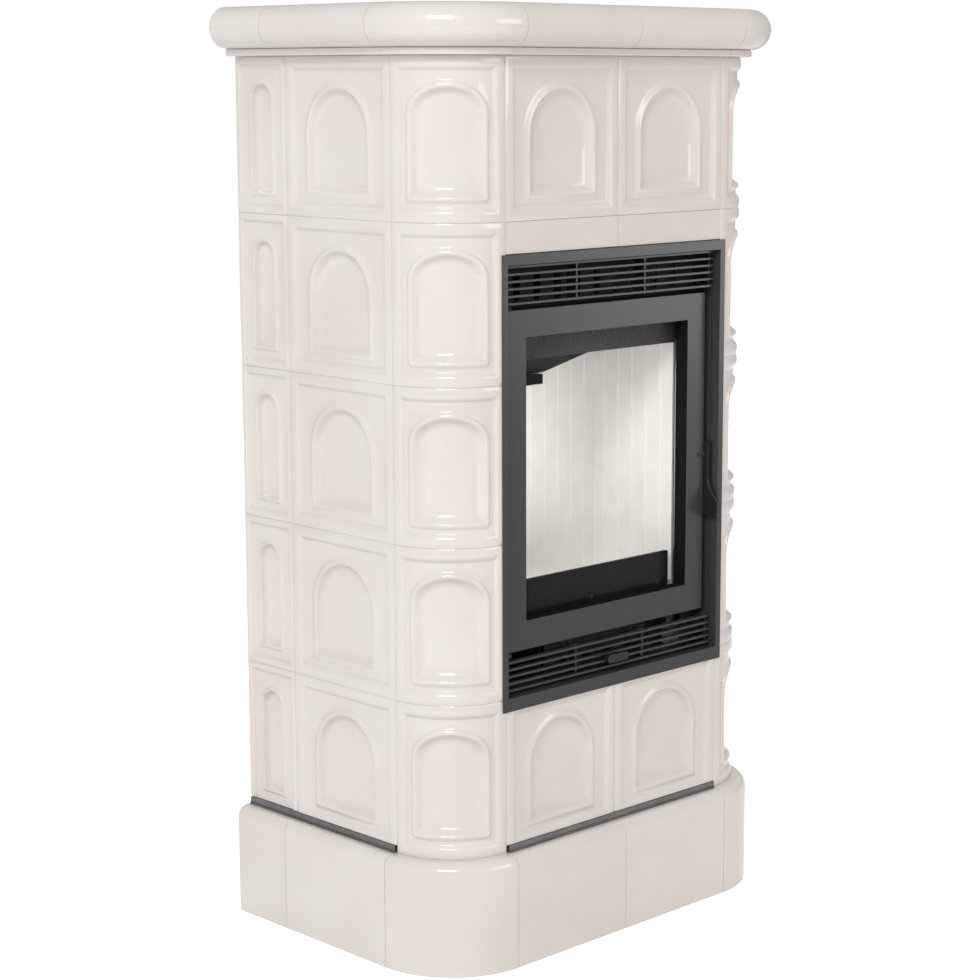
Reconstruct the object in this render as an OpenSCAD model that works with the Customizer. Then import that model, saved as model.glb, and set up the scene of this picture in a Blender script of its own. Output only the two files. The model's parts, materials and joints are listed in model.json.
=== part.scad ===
// Tiled stove: a glazed tile case around a steel fireplace insert.
// Millimetres, +Z up, the front faces -Y. The origin is on the floor, under the middle of the case.

/* [Tile case] */
// Side of one square tile with its joint; the whole case is laid out on it
tile = 220; // [200:2:240]
// Rows of tiles above the plinth
rows = 5; // [5:1:6]
// Width of the open joint between two ceramic pieces
joint = 0.8; // [0.4:0.1:0.9]
// Depth of a tile, from the crest of its rim to the back of its ribs
tile_depth = 50; // [40:1:56]
// Thickness of the tile's face
tile_wall = 10; // [8:1:14]
// Thickness of the ribs behind the tile's face
tile_rib = 9; // [7:1:12]
// How far the ribs stand in from the tile's edges
rib_inset = 11; // [9:1:14]

/* [Tile relief] */
// Distance from the joint to the crest of the raised rim
rim_crest = 10; // [8:1:12]
// Distance from the joint to the inner foot of the rim
rim_foot = 19; // [17:1:22]
// Radius of the rim's bead
rim_bead = 14; // [12:1:18]
// Depth of the flat panel below the rim crest
panel_drop = 5.5; // [4:0.5:6]
// Depth of the arched recess below the rim crest
recess_drop = 8.5; // [7:0.5:10]
// Outer radius of the arch moulding on a square tile
arch_r = 72; // [60:1:76]
// Outer radius of the arch moulding on a half tile
half_arch_r = 29; // [26:1:32]
// Outer half width of the arch moulding on a rounded corner tile
corner_arch_r = 55; // [48:1:58]
// Width of the arch moulding
arch_band = 18; // [14:1:20]
// Height of the moulding's sill above the lower joint
arch_sill = 22; // [21:1:26]
// Height of the corner tile's sill above the joint
corner_sill = 25.5; // [22:0.5:28]
// Height of the arch's outer top above the lower joint
arch_top = 189; // [180:1:194]

/* [Plinth and cornice] */
// Height of the ceramic plinth
plinth_h = 163; // [130:1:190]
// How far the plinth stands out from the tile rims
plinth_out = 23; // [18:1:30]
// Radius along the plinth's upper edge
plinth_round = 16; // [10:1:18]
// Wall of the hollow plinth pieces
plinth_wall = 18; // [17:1:24]
// Depth of the plinth's top, measured in from the tile rims
plinth_in = 45; // [40:1:50]
// Height of the thin fillet under the cornice
fillet_h = 10.5; // [8:0.5:14]
// How far the fillet stands out from the tile rims
fillet_out = 15.2; // [12:0.2:20]
// Height of the cornice, which is also the diameter of its round nose
cornice_h = 58; // [50:1:70]
// How far the cornice stands out from the tile rims
cornice_out = 43.4; // [36:0.2:50]
// Depth of the cornice and fillet, measured in from the tile rims
cornice_in = 50; // [44:1:56]
// Wall of the hollow cornice pieces
cornice_wall = 12; // [10:1:15]
// Width of the step inside the cornice that carries the top cover
cover_step = 8; // [6:1:12]
// Depth of that step below the top of the cornice
cover_drop = 6; // [5:1:9]
// Thickness of the top cover
cover_t = 3; // [2:0.5:4]

/* [Base frame and back] */
// Height of the steel frame that carries the flat tiles
base_h = 10.5; // [8:0.5:14]
// How far the base frame stands out from the tile rims
base_out = 3.5; // [2.5:0.5:5]
// Thickness of the lip along the lower edge of the base frame
base_lip = 3; // [2:0.5:4]
// Width of the base frame's inner band
base_band = 30; // [20:1:40]
// Thickness of the back panel
back_t = 2; // [1.5:0.5:3]
// Screw head radius on the back panel
screw_r = 4; // [3:0.5:5]
// Length of the screws below their heads
screw_len = 10; // [8:1:14]

/* [Portal frame] */
// Width of the metal portal frame
portal_w = 458; // [452:1:464]
// Height of the plain filler tiles above the portal frame
filler_h = 44; // [38:1:52]
// How far the portal frame's face stands out from the tile rims
portal_out = 1.4; // [1.2:0.1:2.5]
// Sheet thickness of the portal frame
portal_t = 1.2; // [1:0.1:1.2]
// Width of the portal frame's top flange
portal_top = 20; // [18:1:24]
// Width of the portal frame's bottom flange
portal_bottom = 19; // [17:1:22]
// Depth of the portal frame's folded edge
portal_deep = 14; // [10:1:18]

/* [Door] */
// Width of the door
door_w = 410; // [404:1:412]
// Height of the door
door_h = 476.5; // [470:0.5:480]
// Distance from the bottom of the portal frame to the bottom of the door
door_lift = 78.5; // [76:0.5:82]
// Distance from the top of the door to the portal frame's upper edge
head_gap = 78; // [77:0.5:80]
// Set-back of the door's face behind the tile rims
door_y = 16; // [12:1:18]
// Thickness of the door frame
door_t = 25; // [24:0.5:26]
// Width of the door's side rails and top rail
rail_w = 38; // [34:1:42]
// Width of the door's bottom rail
rail_low = 41; // [38:1:46]
// Thickness of the ceramic glass
glass_t = 4; // [3:0.5:5]
// Overlap of the glass behind the rails
glass_lap = 7; // [5:0.5:8]
// Radius of the rope seal
rope_r = 4; // [3:0.5:4.5]
// Door opening of the inner frame, how far it stands outside the glass opening
mouth_lap = 5; // [3:1:6]
// How far the air-wash lip hangs below the top of the glass opening
lip_drop = 35; // [20:1:40]
// Radius of the hinge pins
pin_r = 4; // [3:0.5:5]
// Radial running clearance of pins in their bores
pin_gap = 0.05; // [0.03:0.01:0.08]
// Radius of the hinge barrels
barrel_r = 6.5; // [6:0.1:7]
// Length of a hinge barrel
barrel_len = 30; // [20:1:40]
// Distance of the hinge axis outside the door's edge
hinge_off = 4; // [3:0.5:5]
// Set-back of the hinge axis behind the door's face
hinge_back = 4; // [3:0.5:6]

/* [Handle] */
// Height of the handle's pivot above the bottom of the door
handle_z = 235; // [200:1:280]
// Thickness of the handle
handle_t = 6.5; // [5:0.5:7]
// Length from the pivot down to the toe of the handle
handle_drop = 92; // [80:1:110]
// Length from the pivot up to the handle's end
handle_rise = 21; // [14:1:26]
// Depth of the handle's shank, front to back
shank_d = 14; // [12:1:16]
// How far the toe stands out in front of the shank
toe_out = 20; // [14:1:24]
// Height of the toe's flare
toe_h = 58; // [48:1:64]
// Radius of the handle's pivot pin
handle_pin_r = 3.5; // [3:0.5:4.5]

/* [Grilles and air] */
// Distance between grille bars
bar_pitch = 10; // [9:0.5:11]
// Bars in each grille
bars = 5; // [4:1:5]
// Thickness of a grille bar
bar_t = 3.2; // [2.5:0.1:4]
// Front-to-back depth of a grille bar
bar_d = 9; // [7:0.5:10]
// Set-back of the bars behind the tile rims
bar_y = 9; // [8:0.5:10]
// Distance of the grille's middle ribs from the centre
rib_x = 70; // [60:1:80]
// Thickness of the grille ribs
rib_t = 3; // [2:0.5:4]
// Length of the oval air knob
knob_w = 44; // [36:1:50]
// Height of the oval air knob
knob_h = 12; // [10:0.5:14]
// Thickness of the air knob
knob_t = 7; // [5:0.5:8]
// Travel of the air slider to each side
air_travel = 24; // [16:1:26]
// Sheet thickness of the air slider and its plate
air_t = 2.4; // [2:0.2:2.8]

/* [Fire chamber] */
// Inner width of the fire lining
fire_w = 356; // [350:1:360]
// Distance from the tile rims to the face of the back lining
fire_back = 218; // [200:1:230]
// Thickness of the lining slabs
lining_t = 25; // [20:1:25]
// Distance between the flutes of the lining
flute_pitch = 28.5; // [24:0.5:34]
// Radius of a lining flute
flute_r = 3; // [2:0.5:4]
// Height of the hearth above the bottom of the door
hearth_lift = 42.5; // [40:0.5:46]
// Thickness of the hearth slab
hearth_t = 35; // [30:1:38]
// Distance of the back lining's top below the top of the door
back_lining_drop = 76; // [70:1:84]
// Width of the grate
grate_w = 216; // [180:2:240]
// Depth of the grate, front to back
grate_d = 110; // [90:2:120]
// Thickness of the grate
grate_t = 12; // [10:1:15]
// Slots in the grate
grate_slots = 8; // [6:1:8]
// Distance between the grate's slots
grate_pitch = 22; // [18:1:22]
// Height of the log fence
fence_h = 82; // [70:1:90]
// Half width of the log fence
fence_x = 163; // [150:1:170]
// Half width of the baffle's flat middle
baffle_flat = 68; // [60:1:80]
// Half width at which the baffle's wings level out
baffle_wing = 147; // [135:1:155]
// Rise of the baffle's wings above its middle
baffle_rise = 24; // [18:1:28]
// Slope of the baffle, up towards the front
baffle_tilt = 22; // [16:1:25]
// Distance of the baffle's rear edge below the top of the door
baffle_low = 124; // [118:1:130]
// Thickness of the baffle
baffle_t = 4; // [3:0.5:6]

/* [Steel body] */
// Thickness of the insert's steel plates
plate_t = 3; // [2:0.5:4]
// Thickness of the inner front frame
front_t = 3; // [2:0.5:4]
// Set-back of the inner front frame behind the tile rims
front_y = 44; // [44:0.5:46]
// Distance of the steel body's top below the top of the door
body_low = 16.5; // [10:0.5:22]
// Outside diameter of the flue pipe
flue_d = 150; // [120:1:160]
// Wall of the flue pipe
flue_wall = 2; // [1.5:0.5:3]
// Height of the collar on the steel body's top
collar_h = 40; // [30:1:60]
// Outside diameter of the outside-air spigot
air_d = 100; // [80:1:110]
// Side of the stand's square legs
leg_w = 30; // [25:1:35]
// Radius of the levelling feet
foot_r = 18; // [15:1:22]

/* [Hidden] */
$fn = 96;

// Small seats and overlaps
seat = 0.3;
sink = 1;
far = 900;

// Case outline
case_x = 1.5*tile;
case_d = 2*tile;
corner_r = tile/2;
wall_h = rows*tile;
wall_top = plinth_h + wall_h;
case_top = wall_top + fillet_h + cornice_h;
nose_r = cornice_h/2;
rim_y = cornice_out - (case_d + cornice_out)/2;
corner_x = case_x - corner_r;
flat_z = plinth_h + base_h;

// Portal frame and door places
portal_z1 = wall_top - tile - filler_h;
portal_h = door_lift + door_h + head_gap;
portal_z0 = portal_z1 - portal_h;
reveal_x = corner_x - joint/2 - seat;
reveal_in = reveal_x - portal_t;
sill_z = portal_z0 + portal_bottom;
head_z = portal_z1 - portal_top;
door_x = door_w/2;
door_z0 = portal_z0 + door_lift;
door_z1 = door_z0 + door_h;
glass_x = door_x - rail_w;
glass_z0 = door_z0 + rail_low;
glass_z1 = door_z1 - rail_w;
reveal_d = door_t - glass_t - 1;
hinge_x = -door_x - hinge_off;
hinge_y = door_y + hinge_back;
door_back = door_y + door_t;
rope_y = front_y - seat - rope_r;
rope_x = glass_x + 23;
rope_z0 = glass_z0 - 26;
rope_z1 = glass_z1 + 23.5;

// Fire chamber places
hearth_z = door_z0 + hearth_lift;
floor_z = hearth_z - hearth_t;
fire_x = fire_w/2;
inner_y = front_y + front_t;
lining_y = inner_y + 8;
body_x = fire_x + lining_t + 1;
rear_y = fire_back + lining_t + 1;
top_z = door_z1 - body_low;
flue_y = (inner_y + rear_y)/2 + 4;
baffle_y = fire_back - seat;
grate_y = (lining_y + fire_back)/2 + 6;
air_z = floor_z - 60;
box_w = 220;
box_h = 112;
stand_z = floor_z - plate_t;
vent_z0 = sill_z + 6;
vent_z1 = door_z0 - 5;
duct_z0 = door_z1 + 5;
duct_z1 = head_z - 4;
low_bar_z = sill_z + 7;
high_bar_z = door_z1 + 10;
knob_z = low_bar_z + 1.5*bar_pitch;
slide_y = front_y - 2*seat - 2*air_t;

// Smaller places
post_drop = 0.6;
rim_lean = 0.64;
corner_rib = 9;
rib_turn = 1;
back_set = 2.4;
tube_wall = 2.5;
foot_lift = 22;
tie_z = 190;
leg_x = body_x - 18;
leg_rows = [inner_y + 60, rear_y - leg_w/2];
screw_xs = [-240, -80, 80, 240];
screw_gap = 0.1;
back_vents = 14;
back_pitch = 34;
back_vent = 10;
back_vent_l = 60;
back_vent_step = 84;
back_vent_z = 40;
screw_zs = [plinth_h + base_h/2 + 1, case_top - cover_drop - 12];
flange_in = 30;
flange_h = 20;
cover_gap = 20;
cover_pitch = 30;
cover_slot = 10;
bracket_lap = 5;
bracket_nose = 8;
collar_t = 3;
collar_in = reveal_x - collar_t;
vent_x = 190;
mouth_drop = 11;
rib_back = 32;
bracket_t = 6;
rope_turn = 16;
grate_seat = 10;
baffle_z0 = door_z1 - baffle_low;
baffle_len = 123;
slider_h = 32;
port_w = 20;
port_h = 18;
port_pitch = 45;
knob_y = -5;
nose_h = 8;
nose_y = front_y - 3;

// Handle places
handle_x = door_x + 1.5;
pivot_z = door_z0 + handle_z;
shank_y = door_y - 7;
pivot_y = shank_y + 9;

// Places the children, drawn with the tile rims at y = 0, in the part's own frame
module case_frame() {
    translate([0, rim_y, 0]) children();
}

// A copy on each side of the case
module both_sides() {
    children();
    mirror([1, 0, 0]) children();
}

// A block given by its lowest and highest corners
module block(low, high) {
    translate(low) cube(high - low);
}

// A rectangle given by its half width, bottom and top
module panel(half, z0, z1) {
    translate([-half, z0]) square([2*half, z1 - z0]);
}

// A straight run along the front; the 2D child is (outward, up)
module front_run(x0, x1) {
    translate([x0, 0, 0])
        rotate([90, 0, 90])
            linear_extrude(x1 - x0)
                mirror([1, 0]) children();
}

// A straight run along the right side; the 2D child is (outward, up)
module side_run(y0, y1) {
    translate([case_x, y1, 0])
        rotate([90, 0, 0])
            linear_extrude(y1 - y0) children();
}

// A quarter turn round the right front corner; the 2D child is (outward, up)
module corner_run() {
    turn = asin(joint/2/corner_r);
    translate([corner_x, corner_r, 0])
        rotate([0, 0, -90 + turn])
            rotate_extrude(angle = 90 - 2*turn)
                translate([corner_r, 0]) children();
}

// Section of the plinth, with its rounded upper edge
module plinth_section() {
    difference() {
        union() {
            translate([-plinth_in, 0]) square([plinth_in + plinth_out, plinth_h - plinth_round]);
            translate([-plinth_in, 0]) square([plinth_in + plinth_out - plinth_round, plinth_h]);
            translate([plinth_out - plinth_round, plinth_h - plinth_round]) circle(plinth_round);
        }
        translate([-plinth_in - sink, -sink])
            square([plinth_in + plinth_out - plinth_wall + sink, plinth_h - plinth_wall + sink]);
    }
}

// Section of the fillet under the cornice
module fillet_section() {
    edge = 2.5;
    translate([-cornice_in, wall_top + seat/2]) square([cornice_in + fillet_out - edge, fillet_h - seat]);
    translate([0, wall_top + seat/2 + edge]) square([fillet_out, fillet_h - seat - 2*edge]);
    for (z = [wall_top + seat/2 + edge, wall_top + fillet_h - seat/2 - edge])
        translate([fillet_out - edge, z]) circle(edge);
}

// Section of the cornice: round nose, step for the top cover, and a hollow unless it is an end wall
module cornice_section(end_wall = false) {
    z0 = wall_top + fillet_h;
    difference() {
        union() {
            translate([-cornice_in, z0]) square([cornice_in + cornice_out - nose_r, cornice_h]);
            translate([cornice_out - nose_r, z0 + nose_r]) circle(nose_r);
        }
        translate([-cornice_in - sink, case_top - cover_drop])
            square([cover_step + sink, cover_drop + sink]);
        if (!end_wall)
            translate([-cornice_in - sink, z0 + cornice_wall])
                square([cornice_in - cornice_wall + sink, cornice_h - cover_drop - 2*cornice_wall]);
    }
}

// Section of the tile's raised rim: (in from the joint, back from the crest)
module rim_section() {
    intersection() {
        translate([rim_crest, rim_bead]) circle(rim_bead);
        polygon([
            [joint/2, -sink],
            [rim_foot - (panel_drop + sink)*rim_lean, -sink],
            [rim_foot, panel_drop],
            [rim_foot, recess_drop + sink],
            [joint/2, recess_drop + sink]
        ]);
    }
}

// Section of the arch moulding: (in from its outer edge, back from the rim crest)
module arch_section() {
    bead = arch_band*0.36;
    crest_drop = 0.8;
    translate([bead, bead + crest_drop]) circle(bead);
    polygon([
        [0.4, panel_drop],
        [bead, bead + crest_drop],
        [bead*1.6, bead*0.3 + crest_drop],
        [arch_band - 4, panel_drop - 0.8],
        [arch_band, recess_drop],
        [arch_band, recess_drop + sink],
        [0.4, recess_drop + sink]
    ]);
}

// Stands a 2D child, drawn as (across, up), at y0 and gives it a thickness towards the back
module upright(y0, t) {
    translate([0, y0, 0])
        mirror([0, 1, -1])
            linear_extrude(t) children();
}

// A straight moulding along X; the 2D child is (up, back); each end is cut to a mitre or left square
module moulding(len, width, mitre0, mitre1) {
    intersection() {
        mirror([1, 0, -1]) linear_extrude(len) children();
        upright(-sink, recess_drop + 3*sink)
            polygon([
                [0, -sink],
                [len, -sink],
                [len, 0],
                [mitre1 ? len - width : len, width],
                [mitre0 ? width : 0, width],
                [0, 0]
            ]);
    }
}

// One upright of the rim
module rim_post(h) {
    mirror([1, 0, -1]) moulding(h, rim_foot + sink, true, true) rim_section();
}

// The raised rim round a tile of the given width and height
module rim(w, h) {
    moulding(w, rim_foot + sink, true, true) rim_section();
    translate([0, 0, h]) mirror([0, 0, 1]) moulding(w, rim_foot + sink, true, true) rim_section();
    rim_post(h);
    translate([w, 0, 0]) mirror([1, 0, 0]) rim_post(h);
}

// The arch moulding on a tile of width w: half ring, two jambs and a sill
module arch(w, r) {
    spring = arch_top - r;
    translate([w/2, 0, spring])
        mirror([0, 1, -1])
            rotate_extrude(angle = 180)
                translate([r, 0]) mirror([1, 0]) arch_section();
    for (side = [0, 1])
        translate([w/2, 0, 0])
            mirror([side, 0, 0])
                translate([-r, 0, arch_sill])
                    mirror([1, 0, -1])
                        moulding(spring - arch_sill, arch_band, true, false) arch_section();
    translate([w/2 - r, 0, arch_sill]) moulding(2*r, arch_band, true, true) arch_section();
}

// Outline of the arch in (across, up), drawn in by a margin
module arch_outline(w, r, margin, sill = arch_sill) {
    spring = arch_top - r;
    translate([w/2, spring]) circle(r - margin);
    translate([w/2 - r + margin, sill + margin]) square([2*(r - margin), spring - sill - margin]);
}

// A flat tile: face with panel and arched recess, rim, arch moulding, and ribs behind
module flat_tile(w, r, z0, z1) {
    intersection() {
        union() {
            block([joint/2, recess_drop, joint/2], [w - joint/2, recess_drop + tile_wall, tile - joint/2]);
            difference() {
                block([joint/2, panel_drop, joint/2], [w - joint/2, recess_drop + sink, tile - joint/2]);
                upright(0, tile_depth) arch_outline(w, r, arch_band/2);
            }
            rim(w, tile);
            arch(w, r);
            difference() {
                block([rib_inset, recess_drop, z0 + rib_inset],
                      [w - rib_inset, tile_depth, z1 - rib_inset]);
                block([rib_inset + tile_rib, recess_drop, z0 + rib_inset + tile_rib],
                      [w - rib_inset - tile_rib, tile_depth + sink, z1 - rib_inset - tile_rib]);
            }
        }
        block([joint/2, -sink, z0 + joint/2], [w - joint/2, far, z1 - joint/2]);
    }
}

// A wedge of the corner tile's plan, seen from above, between two angles of the quarter turn
module sector(a0, a1) {
    polygon([
        [0, 0],
        [2*corner_r*cos(a0), 2*corner_r*sin(a0)],
        [2*corner_r*cos((a0 + a1)/2), 2*corner_r*sin((a0 + a1)/2)],
        [2*corner_r*cos(a1), 2*corner_r*sin(a1)]
    ]);
}

// A band of the corner tile's shell between two radii and two heights
module shell_band(r0, r1, z0, z1) {
    edge = asin(joint/2/corner_r);
    rotate([0, 0, edge])
        rotate_extrude(angle = 90 - 2*edge)
            translate([r0, z0]) square([r1 - r0, z1 - z0]);
}

// A bead that stands upright along the corner tile's edge at the start of its quarter turn
module corner_post() {
    lean = asin(rim_crest/corner_r);
    foot = asin(rim_foot/corner_r);
    edge = asin(joint/2/corner_r);
    translate([0, 0, joint/2])
        linear_extrude(tile - joint)
            difference() {
                intersection() {
                    rotate(lean) translate([corner_r - rim_bead - post_drop, 0]) circle(rim_bead);
                    sector(edge, foot);
                }
                circle(corner_r - recess_drop - tile_wall/2);
            }
}

// A prism with the arch's outline, pushed through the corner tile along its diagonal
module corner_arch(margin) {
    rotate([0, 0, 45])
        translate([corner_r*0.4, 0, 0])
            rotate([90, 0, 90])
                linear_extrude(corner_r)
                    arch_outline(0, corner_arch_r, margin, corner_sill);
}

// A rounded corner tile, its axis at the origin, turned to the first quadrant
module corner_tile() {
    edge = asin(joint/2/corner_r);
    back_r = corner_r - recess_drop - tile_wall;
    shell_band(back_r, corner_r - recess_drop, joint/2, tile - joint/2);
    difference() {
        shell_band(corner_r - recess_drop - sink, corner_r - panel_drop, joint/2, tile - joint/2);
        corner_arch(arch_band/2);
    }
    for (top = [0, 1])
        translate([0, 0, top*tile])
            mirror([0, 0, top])
                rotate([0, 0, edge])
                    rotate_extrude(angle = 90 - 2*edge)
                        translate([corner_r, 0]) rotate(90) rim_section();
    corner_post();
    mirror([1, -1, 0]) corner_post();
    for (step = [[0, 3, arch_band - 2], [3, 1, arch_band*0.6]])
        intersection() {
            shell_band(corner_r - recess_drop - sink, corner_r - step[1], arch_sill/2, tile - arch_sill/2);
            difference() {
                corner_arch(step[0]);
                corner_arch(step[2]);
            }
        }
    for (z = [rib_inset, tile - rib_inset - tile_rib])
        shell_band(corner_r - tile_depth, back_r + sink, z, z + tile_rib);
    for (turn = [edge + rib_turn, 90 - rib_turn - edge - corner_rib])
        rotate([0, 0, turn])
            rotate_extrude(angle = corner_rib)
                translate([corner_r - tile_depth + sink, rib_inset + tile_rib/2])
                    square([tile_depth - recess_drop - tile_wall, tile - 2*rib_inset - tile_rib]);
}

// Right and left pieces along the front, one each side of the middle
module front_pair() {
    both_sides() front_run(joint/2, corner_x - joint/2) children();
}

// Right and left pieces along the sides, over the wide tile
module side_pair() {
    both_sides() side_run(corner_r + joint/2, corner_r + tile - joint/2) children();
}

// Right and left pieces along the sides, over the half tile at the back
module rear_pair() {
    both_sides() side_run(corner_r + tile + joint/2, case_d) children();
}

// Plinth
module plinth_corners() {
    color("ivory") case_frame() both_sides() corner_run() plinth_section();
}

module plinth_front() {
    color("ivory") case_frame() front_pair() plinth_section();
}

module plinth_sides() {
    color("ivory") case_frame() side_pair() plinth_section();
}

module plinth_rear_ends() {
    color("ivory") case_frame() rear_pair() plinth_section();
}

// A column of right-hand corner tiles
module corner_column() {
    for (row = [0:rows - 1])
        translate([corner_x, corner_r, plinth_h + row*tile])
            rotate([0, 0, -90]) corner_tile();
}

// A column of flat tiles on the right side, from depth y0; the lowest is cut over the base frame
module side_column(y0, w, r) {
    for (row = [0:rows - 1])
        translate([case_x, y0, plinth_h + row*tile])
            rotate([0, 0, 90])
                flat_tile(w, r, row == 0 ? base_h : 0, tile);
}

module corner_tiles_left() {
    color("linen") case_frame() mirror([1, 0, 0]) corner_column();
}

module corner_tiles_right() {
    color("linen") case_frame() corner_column();
}

module side_tiles_left() {
    color("linen") case_frame() mirror([1, 0, 0]) side_column(corner_r, tile, arch_r);
}

module side_tiles_right() {
    color("linen") case_frame() side_column(corner_r, tile, arch_r);
}

module half_tiles_left() {
    color("linen") case_frame() mirror([1, 0, 0]) side_column(corner_r + tile, tile/2, half_arch_r);
}

module half_tiles_right() {
    color("linen") case_frame() side_column(corner_r + tile, tile/2, half_arch_r);
}

module upper_front_tiles() {
    color("linen")
        case_frame()
            both_sides()
                translate([0, 0, wall_top - tile]) flat_tile(tile, arch_r, 0, tile);
}

module lower_front_tiles() {
    color("linen")
        case_frame()
            both_sides()
                translate([0, 0, plinth_h])
                    flat_tile(tile, arch_r, base_h, portal_z0 - plinth_h);
}

// Plain strips between the portal frame and the upper tiles
module filler_tiles() {
    z0 = portal_z1 + joint/2;
    z1 = wall_top - tile - joint/2;
    color("linen")
        case_frame()
            both_sides()
                difference() {
                    block([joint/2, 1, z0], [tile - joint/2, tile_depth, z1]);
                    block([rib_inset + tile_rib, tile_wall, z0 + tile_rib],
                          [tile - rib_inset - tile_rib, tile_depth + sink, z1 - tile_rib]);
                }
}

// Fillet under the cornice
module fillet_corners() {
    color("ivory") case_frame() both_sides() corner_run() fillet_section();
}

module fillet_front() {
    color("ivory") case_frame() front_pair() fillet_section();
}

module fillet_sides() {
    color("ivory")
        case_frame() {
            side_pair() fillet_section();
            rear_pair() fillet_section();
        }
}

// Cornice
module cornice_corners() {
    color("ivory") case_frame() both_sides() corner_run() cornice_section();
}

module cornice_front() {
    color("ivory") case_frame() front_pair() cornice_section();
}

module cornice_sides() {
    color("ivory") case_frame() side_pair() cornice_section();
}

module cornice_rear_ends() {
    color("ivory")
        case_frame() {
            rear_pair() cornice_section();
            both_sides() side_run(case_d - cornice_wall, case_d) cornice_section(true);
        }
}

// Holes for a line of back panel screws in what lies before the panel, whose rear is at y
module screw_holes(z, y) {
    for (x = screw_xs)
        translate([x, y + sink, z])
            rotate([90, 0, 0]) cylinder(h = screw_len + 2*sink, r = screw_r/2 + screw_gap);
}

// Steel ring that stands on the plinth and carries the flat tiles
module base_frame() {
    out = base_out - 1;
    inner_x = case_x - tile_depth;
    rear = case_d - back_set - back_t - seat;
    color("dimgray")
        case_frame()
            difference() {
                union() {
                    block([-corner_x + 2, -out, plinth_h], [corner_x - 2, tile_depth + base_band, flat_z]);
                    block([-corner_x + 2, -base_out, plinth_h], [corner_x - 2, 0, plinth_h + base_lip]);
                    both_sides() {
                        block([inner_x - base_band, corner_r + 2, plinth_h], [case_x + out, rear, flat_z]);
                        block([case_x, corner_r + 2, plinth_h],
                              [case_x + base_out, rear, plinth_h + base_lip]);
                        translate([corner_x, corner_r, plinth_h])
                            cylinder(h = base_h, r = corner_r - tile_depth - sink);
                    }
                    block([-inner_x, rear - base_band, plinth_h], [inner_x, rear, flat_z]);
                }
                block([base_band - inner_x, tile_depth + base_band, plinth_h - sink],
                      [inner_x - base_band, rear - base_band, flat_z + sink]);
                screw_holes(screw_zs[0], rear);
            }
}

// A square tube standing on z0, or lying along Y
module leg(x, y, z0, z1) {
    difference() {
        block([x - leg_w/2, y - leg_w/2, z0], [x + leg_w/2, y + leg_w/2, z1]);
        block([x - leg_w/2 + tube_wall, y - leg_w/2 + tube_wall, z0 - sink],
              [x + leg_w/2 - tube_wall, y + leg_w/2 - tube_wall, z1 - leg_w]);
    }
}

// Welded stand under the steel body
module insert_stand() {
    color("gray")
        case_frame() {
            both_sides() {
                for (y = leg_rows) leg(leg_x, y, foot_lift, stand_z);
                block([leg_x - leg_w/2, inner_y + 10, stand_z - leg_w], [leg_x + leg_w/2, rear_y, stand_z]);
                block([leg_x - leg_w/2, leg_rows[0], tie_z], [leg_x + leg_w/2, leg_rows[1], tie_z + leg_w]);
            }
            for (y = leg_rows)
                block([-leg_x, y - leg_w/2, tie_z], [leg_x, y + leg_w/2, tie_z + leg_w]);
        }
}

// Levelling feet with their plugs in the legs
module stand_feet() {
    plug = leg_w/2 - tube_wall - seat;
    color("silver")
        case_frame()
            both_sides()
                for (y = leg_rows)
                    translate([leg_x, y, 0]) {
                        cylinder(h = 6, r = foot_r);
                        cylinder(h = foot_lift + 2, r = foot_r/3);
                        block([-plug, -plug, foot_lift + 1], [plug, plug, foot_lift + leg_w]);
                    }
}

// A field of upright slots with round ends, drawn as (across, up)
module slot_field(columns, lines, pitch_x, pitch_z, slot_w, slot_h) {
    for (i = [0:columns - 1], j = [0:lines - 1])
        translate([(i - (columns - 1)/2)*pitch_x, j*pitch_z]) {
            translate([-slot_w/2, slot_w/2]) square([slot_w, slot_h - slot_w]);
            for (z = [slot_w/2, slot_h - slot_w/2]) translate([0, z]) circle(slot_w/2);
        }
}

// Back panel with its vents and the hole for the air spigot
module back_panel() {
    color("gainsboro")
        case_frame()
            upright(case_d - back_set - back_t, back_t)
                difference() {
                    union() {
                        panel(case_x - cornice_in - seat, plinth_h + seat, case_top - cover_drop - seat);
                        panel(case_x - recess_drop - tile_wall - seat, flat_z + seat, wall_top - seat);
                    }
                    translate([0, air_z]) circle(air_d/2 + 1);
                    translate([0, flat_z + back_vent_z])
                        slot_field(back_vents, 1, back_pitch, back_vent_l, back_vent, back_vent_l);
                    translate([0, wall_top - tile])
                        slot_field(back_vents, 2, back_pitch, back_vent_step, back_vent, back_vent_l);
                    for (x = screw_xs, z = screw_zs) translate([x, z]) circle(screw_r/2 + 0.2);
                }
}

// Screws round the back panel
module panel_screws() {
    color("silver")
        case_frame()
            for (x = screw_xs, z = screw_zs)
                translate([x, case_d - back_set, z])
                    rotate([-90, 0, 0]) {
                        intersection() {
                            translate([0, 0, -screw_r]) sphere(screw_r*1.45);
                            cylinder(h = back_set - 0.4, r = screw_r);
                        }
                        translate([0, 0, -screw_len]) cylinder(h = screw_len + sink, r = screw_r/2);
                    }
}

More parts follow.
